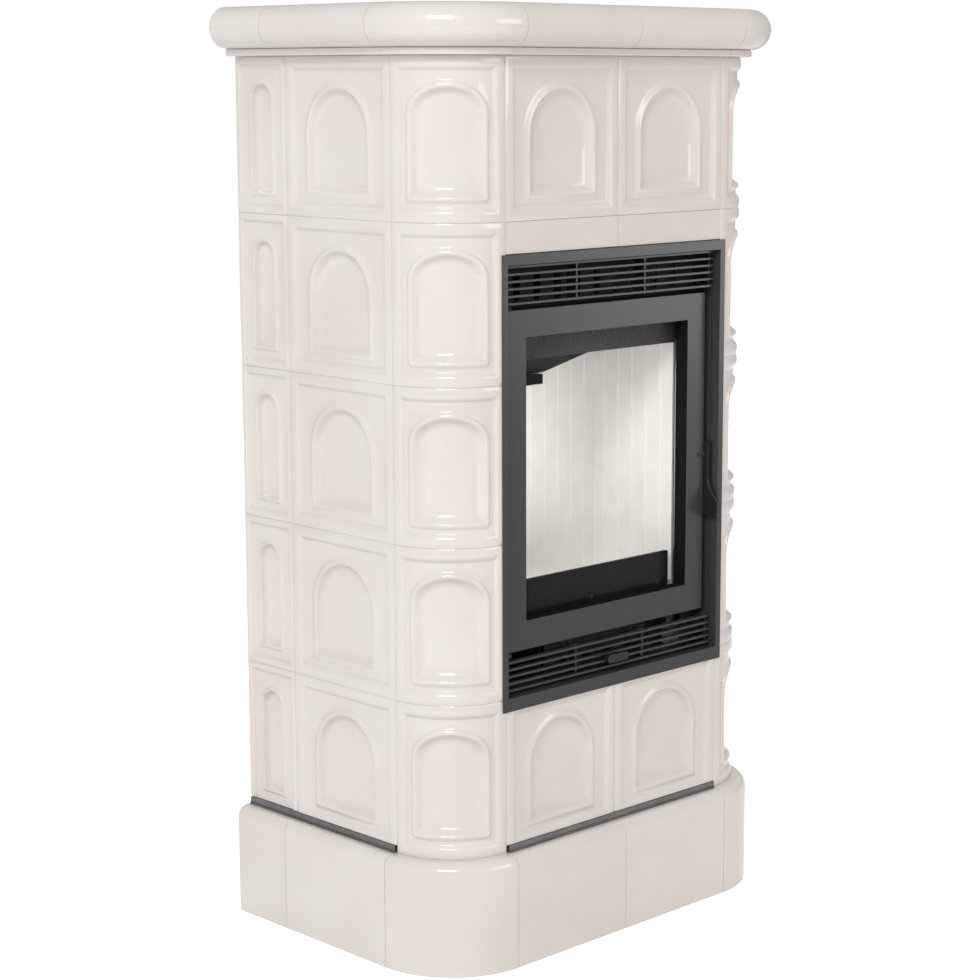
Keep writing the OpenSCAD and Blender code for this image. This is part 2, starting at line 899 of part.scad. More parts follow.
// Top cover, set into the cornice's step, with warm-air slots and the flue hole
module top_cover() {
    half = case_x - cornice_in + cover_step - seat;
    round_r = corner_r - cornice_in + cover_step - seat;
    front = cornice_in - cover_step + seat;
    rear = case_d - back_set;
    flange_x = half - flange_in;
    slot_l = (case_d - 2*corner_r - cover_gap)/2;
    slot_x = case_x - cornice_in - corner_r;
    color("dimgray")
        case_frame() {
            translate([0, 0, case_top - cover_drop])
                linear_extrude(cover_t)
                    difference() {
                        union() {
                            translate([-corner_x, front]) square([2*corner_x, rear - front]);
                            translate([-half, corner_r]) square([2*half, rear - corner_r]);
                            for (x = [-corner_x, corner_x]) translate([x, corner_r]) circle(round_r);
                        }
                        translate([0, flue_y]) circle(flue_d/2 + 1);
                        for (x = [-slot_x, slot_x])
                            translate([x, corner_r + cover_gap])
                                slot_field(4, 2, cover_pitch, slot_l + cover_gap, cover_slot, slot_l);
                    }
            difference() {
                block([-flange_x, rear - back_t - cover_t, case_top - cover_drop - flange_h],
                      [flange_x, rear - back_t - seat, case_top - cover_drop + cover_t]);
                screw_holes(screw_zs[1], rear);
            }
        }
}

// Flue collar on the steel body
module flue_collar() {
    color("dimgray")
        case_frame()
            translate([0, flue_y, top_z + plate_t])
                difference() {
                    union() {
                        cylinder(h = 5, r = flue_d/2 + 16);
                        cylinder(h = collar_h, r = flue_d/2 + 5);
                    }
                    translate([0, 0, -sink]) cylinder(h = collar_h + 2*sink, r = flue_d/2 + seat);
                }
}

// Flue pipe from the collar up to the top cover
module flue_pipe() {
    z0 = top_z + plate_t + 2;
    color("dimgray")
        case_frame()
            translate([0, flue_y, z0])
                difference() {
                    cylinder(h = case_top - z0, r = flue_d/2);
                    translate([0, 0, -sink]) cylinder(h = case_top - z0 + 2*sink, r = flue_d/2 - flue_wall);
                }
}

// Outside-air pipe from the air box to the back
module air_spigot() {
    y0 = rear_y + plate_t;
    color("silver")
        case_frame()
            translate([0, y0, air_z])
                rotate([-90, 0, 0])
                    difference() {
                        cylinder(h = case_d - joint/2 - y0, r = air_d/2);
                        translate([0, 0, -sink]) cylinder(h = case_d, r = air_d/2 - flue_wall);
                    }
}

// Portal frame: flanges with a folded edge
module portal_frame() {
    color("darkslategray")
        case_frame() {
            upright(-portal_out, portal_t)
                difference() {
                    panel(portal_w/2, portal_z0, portal_z1);
                    panel(reveal_in, sill_z, head_z);
                }
            upright(-portal_out, portal_deep + portal_out)
                difference() {
                    panel(reveal_x, sill_z - portal_t, head_z + portal_t);
                    panel(reveal_in, sill_z, head_z);
                }
        }
}

// Bars and ribs of a grille whose lowest bar lies at z0; the outer ribs run from foot to head
module grille(z0, foot, head) {
    z1 = z0 + (bars - 1)*bar_pitch;
    half = collar_in - 2;
    for (i = [0:bars - 1])
        translate([0, 0, z0 + i*bar_pitch])
            block([-half, bar_y, -bar_t/2], [half, bar_y + bar_d, bar_t/2]);
    both_sides() {
        block([rib_x - rib_t/2, bar_y + bar_d/2, z0 - bar_t], [rib_x + rib_t/2, rib_back, z1 + bar_t]);
        block([half - 2 - rib_t, bar_y + bar_d/2, foot], [half - 2, front_y - seat, head]);
    }
}

module upper_grille() {
    color("darkslategray")
        case_frame() grille(high_bar_z, door_z1 + bracket_t + 2*seat, head_z - seat);
}

module lower_grille() {
    color("darkslategray")
        case_frame() grille(low_bar_z, sill_z + seat, door_z0 - bracket_t - 2*seat);
}

// Slotted sheet behind the upper grille
module duct_sheet() {
    color("slategray")
        case_frame()
            upright(front_y - seat - 1.5, 1.5)
                difference() {
                    panel(vent_x + 8, duct_z0 - 4, head_z - seat);
                    translate([0, duct_z0 + 4]) slot_field(9, 1, 40, 40, 14, 40);
                }
}

// Inner front frame with its collar, behind the portal frame
module insert_front() {
    color("dimgray")
        case_frame() {
            upright(front_y, front_t)
                difference() {
                    panel(reveal_x, sill_z - collar_t, head_z + collar_t);
                    panel(vent_x, vent_z0, vent_z1);
                    panel(glass_x + mouth_lap, glass_z0 - mouth_drop, glass_z1 - lip_drop);
                    panel(vent_x, duct_z0, duct_z1);
                }
            upright(portal_deep + seat, front_y - portal_deep)
                difference() {
                    panel(reveal_x, sill_z - collar_t, head_z + collar_t);
                    panel(collar_in, sill_z, head_z);
                }
        }
}

// Steel side plate on the right
module side_plate() {
    block([body_x, inner_y + seat, floor_z], [body_x + plate_t, rear_y + plate_t, top_z]);
}

module insert_side_left() {
    color("gray") case_frame() mirror([1, 0, 0]) side_plate();
}

module insert_side_right() {
    color("gray") case_frame() side_plate();
}

module insert_rear() {
    color("gray")
        case_frame()
            block([seat - body_x, rear_y, floor_z], [body_x - seat, rear_y + plate_t, top_z]);
}

module insert_top() {
    color("gray")
        case_frame()
            difference() {
                block([-body_x - plate_t, inner_y + seat, top_z],
                      [body_x + plate_t, rear_y + plate_t, top_z + plate_t]);
                translate([0, flue_y, top_z - sink]) cylinder(h = plate_t + 2*sink, r = flue_d/2 + 1);
            }
}

// Floor plate with the air box welded under it; the box opens forward behind the air plate
module air_box() {
    half = box_w/2;
    neck_y = inner_y + 12;
    color("gray")
        case_frame()
            difference() {
                union() {
                    block([-body_x - plate_t, inner_y + seat, stand_z],
                          [body_x + plate_t, rear_y + plate_t, floor_z]);
                    block([-half, neck_y, stand_z - box_h], [half, rear_y + plate_t, floor_z]);
                    block([-half, inner_y + seat, vent_z0], [half, neck_y + plate_t, floor_z]);
                }
                block([plate_t - half, neck_y + plate_t, stand_z - box_h + plate_t],
                      [half - plate_t, rear_y, stand_z]);
                block([plate_t - half, inner_y - sink, vent_z0 + plate_t],
                      [half - plate_t, neck_y + 2*plate_t, vent_z1]);
                translate([0, rear_y - sink, air_z])
                    rotate([-90, 0, 0]) cylinder(h = plate_t + 2*sink, r = air_d/2 - flue_wall - 3);
            }
}

// Upright flutes along the face of a lining slab, cut at the places given along X
module flutes(places, z0, z1) {
    for (x = places)
        translate([x, 0, z0 - sink]) cylinder(h = z1 - z0 + 2*sink, r = flute_r);
}

// Fluted slab at the back of the fire chamber
module lining_back() {
    z1 = door_z1 - back_lining_drop;
    half = fire_x - seat;
    color("antiquewhite")
        case_frame()
            difference() {
                block([-half, fire_back, hearth_z], [half, fire_back + lining_t, z1]);
                translate([0, fire_back, 0])
                    flutes([for (i = [0:5], side = [-1, 1]) side*(i + 0.5)*flute_pitch], hearth_z, z1);
            }
}

// Fluted slab on the right of the fire chamber, its top sloped to carry a wing of the baffle
module side_lining() {
    slope = tan(baffle_tilt);
    front = lining_y + seat;
    rear = fire_back + lining_t;
    z0 = baffle_z0 + baffle_rise/cos(baffle_tilt) - seat;
    z1 = z0 + baffle_len*slope;
    difference() {
        translate([fire_x, 0, 0])
            rotate([90, 0, 90])
                linear_extrude(lining_t)
                    polygon([[front, hearth_z], [rear, hearth_z], [rear, z0 - (rear - baffle_y)*slope],
                             [baffle_y - baffle_len, z1], [front, z1]]);
        translate([fire_x, fire_back, 0])
            rotate([0, 0, -90])
                flutes([for (i = [0:4]) 24 + i*flute_pitch], hearth_z, z1);
    }
}

module lining_left() {
    color("antiquewhite") case_frame() mirror([1, 0, 0]) side_lining();
}

module lining_right() {
    color("antiquewhite") case_frame() side_lining();
}

// Hearth slab with the seat for the grate
module hearth_slab() {
    color("antiquewhite")
        case_frame()
            difference() {
                block([seat - body_x, lining_y + seat, floor_z], [body_x - seat, rear_y - seat, hearth_z]);
                block([-grate_w/2, grate_y - grate_d/2, hearth_z - grate_t],
                      [grate_w/2, grate_y + grate_d/2, hearth_z + sink]);
                block([grate_seat - grate_w/2, grate_y - grate_d/2 + grate_seat, floor_z - sink],
                      [grate_w/2 - grate_seat, grate_y + grate_d/2 - grate_seat, hearth_z]);
            }
}

// Cast grate
module grate() {
    color("black")
        case_frame()
            difference() {
                block([seat - grate_w/2, grate_y - grate_d/2 + seat, hearth_z - grate_t + seat],
                      [grate_w/2 - seat, grate_y + grate_d/2 - seat, hearth_z + seat]);
                for (i = [-grate_slots/2 + 0.5:grate_slots/2 - 0.5])
                    block([i*grate_pitch - 5, grate_y - grate_d/2 + 18, hearth_z - grate_t],
                          [i*grate_pitch + 5, grate_y + grate_d/2 - 18, hearth_z + 2*sink]);
            }
}

// Ash pan under the grate
module ash_pan() {
    half = grate_w/2 - grate_seat - 1.5;
    deep = grate_d/2 - grate_seat - 1.5;
    z1 = hearth_z - grate_t - 2;
    color("gray")
        case_frame()
            translate([0, grate_y, 0])
                difference() {
                    block([-half, -deep, floor_z], [half, deep, z1]);
                    block([1.5 - half, 1.5 - deep, floor_z + 1.5], [half - 1.5, deep - 1.5, z1 + sink]);
                }
}

// Log fence behind the door
module log_fence() {
    y0 = inner_y + 1;
    z1 = floor_z + fence_h;
    color("black")
        case_frame() {
            upright(y0, 2.5)
                difference() {
                    panel(fence_x, floor_z, z1);
                    for (x = [-fence_x + 19, 0, fence_x - 19]) translate([x, floor_z + 35.5]) circle(2.5);
                }
            block([-fence_x, y0, z1 - 2.5], [fence_x, lining_y - seat, z1]);
        }
}

// Section of the folded baffle, drawn as (across, up)
module baffle_section() {
    half = body_x - 1.5;
    low = [[-half, baffle_rise], [-baffle_wing, baffle_rise], [-baffle_flat, 0],
           [baffle_flat, 0], [baffle_wing, baffle_rise], [half, baffle_rise]];
    high = [for (i = [5:-1:0]) low[i] + [0, baffle_t]];
    polygon(concat(low, high));
}

// Baffle over the fire, sloping up to the front
module smoke_baffle() {
    len = baffle_len/cos(baffle_tilt) + 60;
    color("dimgray")
        case_frame()
            intersection() {
                translate([0, baffle_y, baffle_z0])
                    rotate([-baffle_tilt, 0, 0])
                        translate([0, 30, 0])
                            rotate([90, 0, 0]) linear_extrude(len) baffle_section();
                block([-far, baffle_y - baffle_len, hearth_z], [far, baffle_y, case_top]);
            }
}

// Rear bracket under the middle of the baffle
module baffle_bracket() {
    rest_h = 15;
    rest_d = 14;
    rest_x = baffle_flat - 15;
    color("dimgray")
        case_frame()
            block([-rest_x, baffle_y - rest_d, baffle_z0 - rest_h], [rest_x, baffle_y, baffle_z0 - seat]);
}

// Ports shared by the air plate and the slider
module air_ports() {
    for (i = [0:3])
        translate([(i - 1.5)*port_pitch, knob_z]) square([port_w, port_h], center = true);
}

// Fixed air plate with the slider's rails
module air_plate() {
    y0 = front_y - seat - air_t;
    half = box_w/2 - 4;
    guide = slider_h/2 + seat;
    color("gray")
        case_frame() {
            upright(y0, air_t)
                difference() {
                    panel(half, sill_z + 1, door_z0 - 2);
                    air_ports();
                }
            for (side = [-1, 1])
                upright(slide_y - seat - air_t, 2*air_t + seat + sink)
                    translate([0, knob_z + side*(guide + 1.5)]) square([2*half, 3], center = true);
            for (side = [-1, 1])
                upright(slide_y - seat - air_t, air_t)
                    translate([0, knob_z + side*(guide + 0.5)]) square([2*half, 5], center = true);
        }
}

// Slider of the air control
module air_slider() {
    color("silver")
        case_frame()
            upright(slide_y, air_t)
                difference() {
                    panel(box_w/2 - 6 - air_travel, knob_z - slider_h/2, knob_z + slider_h/2);
                    air_ports();
                }
}

// Oval knob on its stem
module air_knob() {
    color("black")
        case_frame() {
            upright(knob_y, knob_t)
                translate([0, knob_z]) {
                    square([knob_w - knob_h, knob_h], center = true);
                    for (x = [knob_h - knob_w, knob_w - knob_h]) translate([x/2, 0]) circle(knob_h/2);
                }
            block([-5, knob_y + knob_t - sink, knob_z - 2], [5, slide_y, knob_z + 2]);
        }
}

// A rectangle with round corners, drawn as (across, up)
module round_panel(half, z0, z1, r) {
    panel(half, z0 + r, z1 - r);
    panel(half - r, z0, z1);
    for (x = [r - half, half - r], z = [z0 + r, z1 - r]) translate([x, z]) circle(r);
}

// A ring along the rope's path, between two distances from its centre line
module rope_path(inner, outer) {
    difference() {
        round_panel(rope_x + outer, rope_z0 - outer, rope_z1 + outer, rope_turn + outer);
        round_panel(rope_x + inner, rope_z0 - inner, rope_z1 + inner, rope_turn + inner);
    }
}

// Door frame with its glass rebate, rope groove, hinge barrels and handle bore
module door_frame() {
    lap = glass_lap + 1;
    color("darkslategray")
        case_frame()
            difference() {
                union() {
                    upright(door_y, reveal_d)
                        difference() {
                            panel(door_x, door_z0, door_z1);
                            panel(glass_x, glass_z0, glass_z1);
                        }
                    upright(door_y + reveal_d - sink, door_t - reveal_d + sink)
                        difference() {
                            panel(door_x, door_z0, door_z1);
                            panel(glass_x + lap, glass_z0 - lap, glass_z1 + lap);
                        }
                    for (z = [door_z0, door_z1 - barrel_len])
                        translate([hinge_x, hinge_y, z]) cylinder(h = barrel_len, r = barrel_r);
                }
                upright(rope_y - rope_r, far) rope_path(-rope_r - 0.2, rope_r + 0.2);
                upright(door_y + reveal_d, far) panel(glass_x + lap, glass_z0 - lap, glass_z1 + lap);
                for (z = [door_z0, door_z1 - barrel_len])
                    translate([hinge_x, hinge_y, z - sink])
                        cylinder(h = barrel_len + 2*sink, r = pin_r + pin_gap);
                translate([door_x + sink, pivot_y, pivot_z])
                    rotate([0, -90, 0]) cylinder(h = 13 + sink, r = handle_pin_r + pin_gap);
            }
}

module door_glass() {
    color("lightcyan", 0.4)
        case_frame()
            upright(door_y + reveal_d + seat, glass_t)
                panel(glass_x + glass_lap, glass_z0 - glass_lap, glass_z1 + glass_lap);
}

// Strips that hold the glass from behind
module glass_clips() {
    y0 = door_back;
    in_x = glass_x + 2;
    out_x = glass_x + 16;
    color("silver")
        case_frame() {
            both_sides() block([in_x, y0, glass_z0 + 30], [out_x, y0 + 1.5, glass_z1 - 30]);
            block([-in_x + 30, y0, glass_z0 - 16], [in_x - 30, y0 + 1.5, glass_z0 - 2]);
            block([-in_x + 30, y0, glass_z1 + 2], [in_x - 30, y0 + 1.5, glass_z1 + 16]);
        }
}

// Rope seal in the door's groove
module door_rope() {
    color("dimgray")
        case_frame() {
            both_sides() {
                for (z = [rope_z0, rope_z1])
                    translate([0, rope_y, z])
                        rotate([0, 90, 0]) cylinder(h = rope_x - rope_turn, r = rope_r);
                translate([rope_x, rope_y, rope_z0 + rope_turn])
                    cylinder(h = rope_z1 - rope_z0 - 2*rope_turn, r = rope_r);
                for (top = [0, 1])
                    translate([rope_x - rope_turn, rope_y, top ? rope_z1 - rope_turn : rope_z0 + rope_turn])
                        mirror([0, 0, 1 - top])
                            mirror([0, 1, -1])
                                rotate_extrude(angle = 90) translate([rope_turn, 0]) circle(rope_r);
            }
        }
}

// Brackets on the inner front frame, above and below the door
module hinge_brackets() {
    color("dimgray")
        case_frame()
            for (z = [door_z0 - seat - bracket_t, door_z1 + seat])
                difference() {
                    block([seat - collar_in, hinge_y - bracket_nose, z],
                          [bracket_lap - door_x, front_y, z + bracket_t]);
                    translate([hinge_x, hinge_y, z - sink]) cylinder(h = bracket_t + 2*sink, r = pin_r);
                }
}

module hinge_pins() {
    len = bracket_t + seat + barrel_len - 3;
    color("silver")
        case_frame()
            for (z = [door_z0 - seat - bracket_t, door_z1 + seat + bracket_t - len])
                translate([hinge_x, hinge_y, z]) cylinder(h = len, r = pin_r);
}

// Keeper that the latch nose runs under
module latch_keeper() {
    z0 = pivot_z + nose_h/2 + seat;
    color("dimgray")
        case_frame() {
            block([handle_x, front_y - 4, z0], [collar_in - seat, front_y, z0 + 26]);
            block([handle_x, front_y - 12, z0], [collar_in - seat, front_y, z0 + 5]);
        }
}

// Outline of the handle, drawn as (back, up)
module handle_outline() {
    z0 = pivot_z - handle_drop;
    flare = toe_h - 22;
    flare_r = (pow(toe_out, 2) + pow(flare, 2))/2/toe_out;
    end_r = shank_d/2;
    toe_r = 5;
    translate([shank_y, z0]) square([shank_d, handle_drop + handle_rise - end_r]);
    translate([shank_y + end_r, pivot_z + handle_rise - end_r]) circle(end_r);
    difference() {
        union() {
            translate([shank_y - toe_out, z0 + toe_r]) square([toe_out + end_r, toe_h - toe_r]);
            translate([shank_y - toe_out + toe_r, z0]) square([toe_out, toe_r + sink]);
            translate([shank_y - toe_out + toe_r, z0 + toe_r]) circle(toe_r);
        }
        translate([shank_y - flare_r, z0 + toe_h]) circle(flare_r);
    }
    translate([pivot_y, pivot_z - nose_h/2]) square([nose_y - pivot_y, nose_h]);
}

// Lever handle with its latch nose
module door_handle() {
    color("black")
        case_frame()
            translate([handle_x, 0, 0])
                difference() {
                    rotate([90, 0, 90]) linear_extrude(handle_t) handle_outline();
                    translate([-sink, pivot_y, pivot_z])
                        rotate([0, 90, 0]) cylinder(h = handle_t + 2*sink, r = handle_pin_r + pin_gap);
                }
}

// Pin of the handle, with its head
module handle_pin() {
    head_x = handle_x + handle_t + 0.4;
    color("silver")
        case_frame() {
            translate([door_x - 12, pivot_y, pivot_z])
                rotate([0, 90, 0]) cylinder(h = head_x + sink - door_x + 12, r = handle_pin_r);
            translate([head_x, pivot_y, pivot_z])
                rotate([0, 90, 0]) cylinder(h = 1.4, r = handle_pin_r + 2);
        }
}

plinth_corners();
plinth_front();
plinth_sides();
plinth_rear_ends();
corner_tiles_left();
corner_tiles_right();
side_tiles_left();
side_tiles_right();
half_tiles_left();
half_tiles_right();
upper_front_tiles();
lower_front_tiles();
filler_tiles();
fillet_corners();
fillet_front();
fillet_sides();
cornice_corners();
cornice_front();
cornice_sides();
cornice_rear_ends();
base_frame();
insert_stand();
stand_feet();
back_panel();
panel_screws();
top_cover();
flue_collar();
flue_pipe();
air_spigot();
portal_frame();
upper_grille();
lower_grille();
duct_sheet();
insert_front();
insert_side_left();
insert_side_right();
insert_rear();
insert_top();
air_box();
lining_back();
lining_left();
lining_right();
hearth_slab();
grate();
log_fence();
smoke_baffle();
baffle_bracket();
ash_pan();
air_plate();
air_slider();
air_knob();
door_frame();
door_glass();
glass_clips();
door_rope();
hinge_brackets();
hinge_pins();
latch_keeper();
door_handle();
handle_pin();
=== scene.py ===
# %% [markdown]
# # A tiled stove with a fireplace insert
#
# The stove is a case of glossy relief tiles round a steel fireplace insert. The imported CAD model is
# loaded as a fixed frame. It gives every size and place, and the pieces here are dressed on it: the
# moulded tiles are modelled again with soft relief, the plain pieces are copied with eased edges, and
# every surface gets its finish.

import json
from math import pi, radians

import bmesh
import bpy
from mathutils import Matrix, Vector


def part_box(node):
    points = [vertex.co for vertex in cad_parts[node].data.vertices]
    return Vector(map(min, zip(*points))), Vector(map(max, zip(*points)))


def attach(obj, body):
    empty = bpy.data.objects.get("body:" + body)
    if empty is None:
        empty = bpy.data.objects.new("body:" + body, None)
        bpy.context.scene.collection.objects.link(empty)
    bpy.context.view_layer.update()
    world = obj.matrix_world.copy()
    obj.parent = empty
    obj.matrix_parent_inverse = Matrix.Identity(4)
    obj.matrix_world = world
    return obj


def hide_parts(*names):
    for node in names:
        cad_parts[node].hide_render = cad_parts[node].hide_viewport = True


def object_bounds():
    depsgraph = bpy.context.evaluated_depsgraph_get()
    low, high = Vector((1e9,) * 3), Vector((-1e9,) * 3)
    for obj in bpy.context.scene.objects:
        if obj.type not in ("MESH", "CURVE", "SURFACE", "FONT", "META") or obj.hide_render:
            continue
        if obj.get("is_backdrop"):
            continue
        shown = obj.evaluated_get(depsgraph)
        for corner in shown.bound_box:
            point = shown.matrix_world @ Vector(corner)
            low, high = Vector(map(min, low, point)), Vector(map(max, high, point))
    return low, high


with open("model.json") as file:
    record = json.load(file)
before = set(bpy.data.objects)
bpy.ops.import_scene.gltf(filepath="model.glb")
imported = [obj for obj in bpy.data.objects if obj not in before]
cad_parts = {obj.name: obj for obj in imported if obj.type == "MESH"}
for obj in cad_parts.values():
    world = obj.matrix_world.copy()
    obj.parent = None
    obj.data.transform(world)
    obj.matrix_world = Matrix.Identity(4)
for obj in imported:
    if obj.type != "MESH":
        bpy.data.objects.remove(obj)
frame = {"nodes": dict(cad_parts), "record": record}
nodes = frame["nodes"]
cad_low, cad_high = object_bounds()
print("case of", [round(v, 4) for v in cad_high - cad_low], "m")

# %% [markdown]
# ## The layout of the case
#
# A tiled stove is set out on the pitch of its tiles. The numbers could be typed in, but here the pitch,
# the walls and the places of the corners are read from the frame, so a changed model moves everything
# with it. The CAD tiles stand apart by JOINT. The photograph hardly shows a joint, so the dressed tiles
# are closer, by SEAM.

# %% Sizes of the case
MM = 0.001
ROWS = 5
JOINT = 0.8 * MM
SEAM = 0.25 * MM
column_low, column_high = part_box("corner_tiles_right")
TILE = (column_high.z - column_low.z + JOINT) / ROWS
WALL_Z = column_low.z - JOINT / 2
FRONT_Y = column_low.y
SIDE_X = column_high.x
CORNER_X = SIDE_X - TILE / 2
print("tile pitch", round(TILE, 4), "front plane", round(FRONT_Y, 4), "side plane", round(SIDE_X, 4))

# %% [markdown]
# ## Selecting by place
#
# A person clicks on the face that they want. A script has no mouse, so it picks a part by its place or
# its normal. The helpers below make one piece active, enter edit mode, and select what passes a test.


# %% Open a piece in edit mode
def alone(piece):
    """Make one piece the only selected and active one."""
    if bpy.context.mode != "OBJECT":
        bpy.ops.object.mode_set(mode="OBJECT")
    bpy.ops.object.select_all(action="DESELECT")
    piece.select_set(True)
    bpy.context.view_layer.objects.active = piece


def edit(piece, kind="FACE"):
    """Open one piece in edit mode with everything selected."""
    alone(piece)
    bpy.ops.object.mode_set(mode="EDIT")
    bpy.ops.mesh.select_mode(type=kind)
    bpy.ops.mesh.select_all(action="SELECT")


def close(piece):
    """Leave edit mode."""
    bpy.ops.object.mode_set(mode="OBJECT")
    return piece


# %% Select by a test
CLOSE = 0.01 * MM
FACING = 0.9


def pick(piece, kind, test):
    """Select the vertices, edges or faces that pass a test of their place or normal."""
    bpy.ops.mesh.select_mode(type=kind)
    bpy.ops.mesh.select_all(action="DESELECT")
    mesh = bmesh.from_edit_mesh(piece.data)
    parts = {"VERT": mesh.verts, "EDGE": mesh.edges, "FACE": mesh.faces}[kind]
    count = 0
    for part in parts:
        if test(part):
            part.select_set(True)
            count += 1
    mesh.select_flush_mode()
    bmesh.update_edit_mesh(piece.data)
    return count


def new_piece(name):
    """Name the active object and its mesh, and settle its place into the mesh."""
    piece = bpy.context.object
    piece.name = name
    piece.data.name = name
    bpy.ops.object.transform_apply(location=True, rotation=True, scale=True)
    return piece


def halve(piece, test):
    """Split the edge that passes a test in the middle."""
    pick(piece, "EDGE", test)
    bpy.ops.mesh.subdivide(number_cuts=1)


# %% [markdown]
# ## The moulding of a relief tile
#
# A stove tile is pressed in a plaster mould, so it has no sharp step: a rounded rim falls to a flat
# panel, and a soft bead stands round a hollow arch. A subdivided block could be sculpted to this, but the
# moulding keeps one section all round, so a plane is inset again and again, each inset going in by a
# width and down by a drop.

# %% The sections of the moulding, as width and drop below the crest, in millimetres
RIM_SECTION = [
    (0, 1.7), (0.6, 1.35), (1.6, 1.05), (2.9, 0.75), (4.5, 0.42), (6.4, 0.15), (8.4, 0.02), (10.4, 0),
    (12.2, 0.15), (13.8, 0.6), (15.2, 1.25), (16.4, 2.05), (17.4, 2.95), (18.3, 3.85), (19.1, 4.6),
    (19.9, 5.15), (20.7, 5.42), (21.5, 5.5),
]
ARCH_SECTION = [
    (0, 5.5), (2, 5.3), (4, 4.7), (6, 3.8), (8, 2.85), (10, 2.15), (11.4, 2.0), (12.7, 2.4), (13.9, 3.4),
    (15.1, 4.9), (16.4, 6.8), (17.9, 8.8), (19.7, 10.5), (22, 11.7), (25, 12.5), (29, 13), (33, 13.2),
]
CORNER_ARCH_SECTION = [
    (0, 5.5), (1.2, 5.25), (2.6, 4.4), (4.0, 3.2), (5.4, 2.1), (7.0, 1.5), (8.4, 1.5), (9.7, 2.1),
    (11.1, 3.3), (12.6, 5.1), (14.3, 7.2), (16.2, 9.2), (18.4, 10.8), (21, 11.9), (24, 12.6), (27.5, 12.8),
]
PANEL_DROP = RIM_SECTION[-1][1] * MM
print("rim", RIM_SECTION[-1][0], "mm wide, arch", ARCH_SECTION[-1][1], "mm deep")


# %% Follow a section
def narrowed(section, factor):
    """The same moulding with its widths drawn in, for a narrower tile."""
    return [(width * factor, drop) for width, drop in section]


def step_in(section):
    """Inset the selected face along a section: inward by its widths and down by its drops."""
    for (width0, drop0), (width1, drop1) in zip(section, section[1:]):
        bpy.ops.mesh.inset(
            thickness=(width1 - width0) * MM, depth=(drop0 - drop1) * MM,
            use_even_offset=True, use_boundary=True,
        )


# %% [markdown]
# ## The block of clay
#
# The pressed tile is a slab with a hollow back, which keeps it light and lets it dry evenly. A cube could
# be scaled to it. Here a plane is drawn where the front must be and extruded to the depth of the clay, so
# that no place has to be worked out. Its open side is closed, and the back is inset and pushed in.

# %% A block with a hollow back
CLAY = 50 * MM
BACK_RIM = 10 * MM
BACK_SLOPE = 1 * MM
BACK_HOLLOW = 30 * MM


def hollow_block(name, width, height, drop):
    """A block with its middle at x = 0 and its foot at z = 0, left open in edit mode."""
    bpy.ops.object.select_all(action="DESELECT")
    bpy.ops.mesh.primitive_plane_add(size=1, location=(0, drop, height / 2), rotation=(pi / 2, 0, 0))
    bpy.context.object.scale = (width, height, 1)
    block = new_piece(name)
    edit(block)
    bpy.ops.mesh.extrude_region_move(TRANSFORM_OT_translate={"value": (0, CLAY - drop, 0)})
    pick(block, "EDGE", lambda e: e.is_boundary)
    bpy.ops.mesh.edge_face_add()
    bpy.ops.mesh.select_all(action="SELECT")
    bpy.ops.mesh.normals_make_consistent(inside=False)
    pick(block, "FACE", lambda f: f.normal.y > FACING)
    bpy.ops.mesh.inset(thickness=BACK_RIM, depth=0)
    bpy.ops.mesh.inset(thickness=BACK_SLOPE, depth=-BACK_HOLLOW)
    return block


# %% [markdown]
# ## The arch
#
# The hollow in the panel is half a circle on two jambs. The Boolean modifier could cut it, but it leaves
# no face that follows the outline. Here half a circle is drawn, its ends are extruded down to the sill,
# and the panel round it is filled with two faces that meet on the middle line. The face inside the
# outline is then inset along the section. On the corner tile the two feet are rounded, so the first steps
# there end in a merge.

# %% The outline of the arch
ARC_PARTS = 32
FOOT_PARTS = 8


def arch_outline(radius, rise, sill, top, round_foot):
    """Half a circle or ellipse on two jambs, as loose edges on the panel."""
    spring = top - rise
    bpy.ops.object.select_all(action="DESELECT")
    bpy.ops.mesh.primitive_circle_add(
        vertices=2 * ARC_PARTS, radius=radius, fill_type="NOTHING", location=(0, PANEL_DROP, spring),
        rotation=(pi / 2, 0, 0),
    )
    bpy.context.object.scale = (1, rise / radius, 1)
    arch = new_piece("arch_outline")
    edit(arch, "VERT")
    pick(arch, "VERT", lambda v: v.co.z < spring - CLOSE)
    bpy.ops.mesh.delete(type="VERT")
    pick(arch, "VERT", lambda v: v.co.z < spring + CLOSE)
    bpy.ops.mesh.extrude_region_move(TRANSFORM_OT_translate={"value": (0, 0, sill - spring)})
    bpy.ops.mesh.select_all(action="SELECT")
    bpy.ops.mesh.edge_face_add()
    if round_foot:
        pick(arch, "VERT", lambda v: v.co.z < sill + CLOSE)
        bpy.ops.mesh.bevel(affect="VERTICES", offset=round_foot, offset_type="OFFSET", segments=FOOT_PARTS)
    pick(arch, "FACE", lambda f: True)
    bpy.ops.mesh.delete(type="ONLY_FACE")
    halve(arch, lambda e: all(v.co.z < sill + CLOSE for v in e.verts))
    return close(arch)


# %% The panel round the arch
def fill_panel(tile, panel_low, panel_top, sill, top):
    """Fill the flat ring round the arch with two faces that meet in the middle."""
    is_open = lambda e: e.is_boundary or e.is_wire
    for z in (panel_low, panel_top):
        halve(tile, lambda e: is_open(e) and all(abs(v.co.z - z) < CLOSE for v in e.verts))
    for ends in ((panel_low, sill), (top, panel_top)):
        on_line = lambda v: abs(v.co.x) < CLOSE and abs(v.co.y - PANEL_DROP) < CLOSE
        pick(tile, "VERT", lambda v: on_line(v) and any(abs(v.co.z - z) < CLOSE for z in ends))
        bpy.ops.mesh.edge_face_add()
    for side in (1, -1):
        pick(tile, "EDGE", lambda e: is_open(e) and all(side * v.co.x > -CLOSE for v in e.verts))
        bpy.ops.mesh.edge_face_add()


# %% The hollow of the arch
FOOT_MERGE = 1.5 * MM


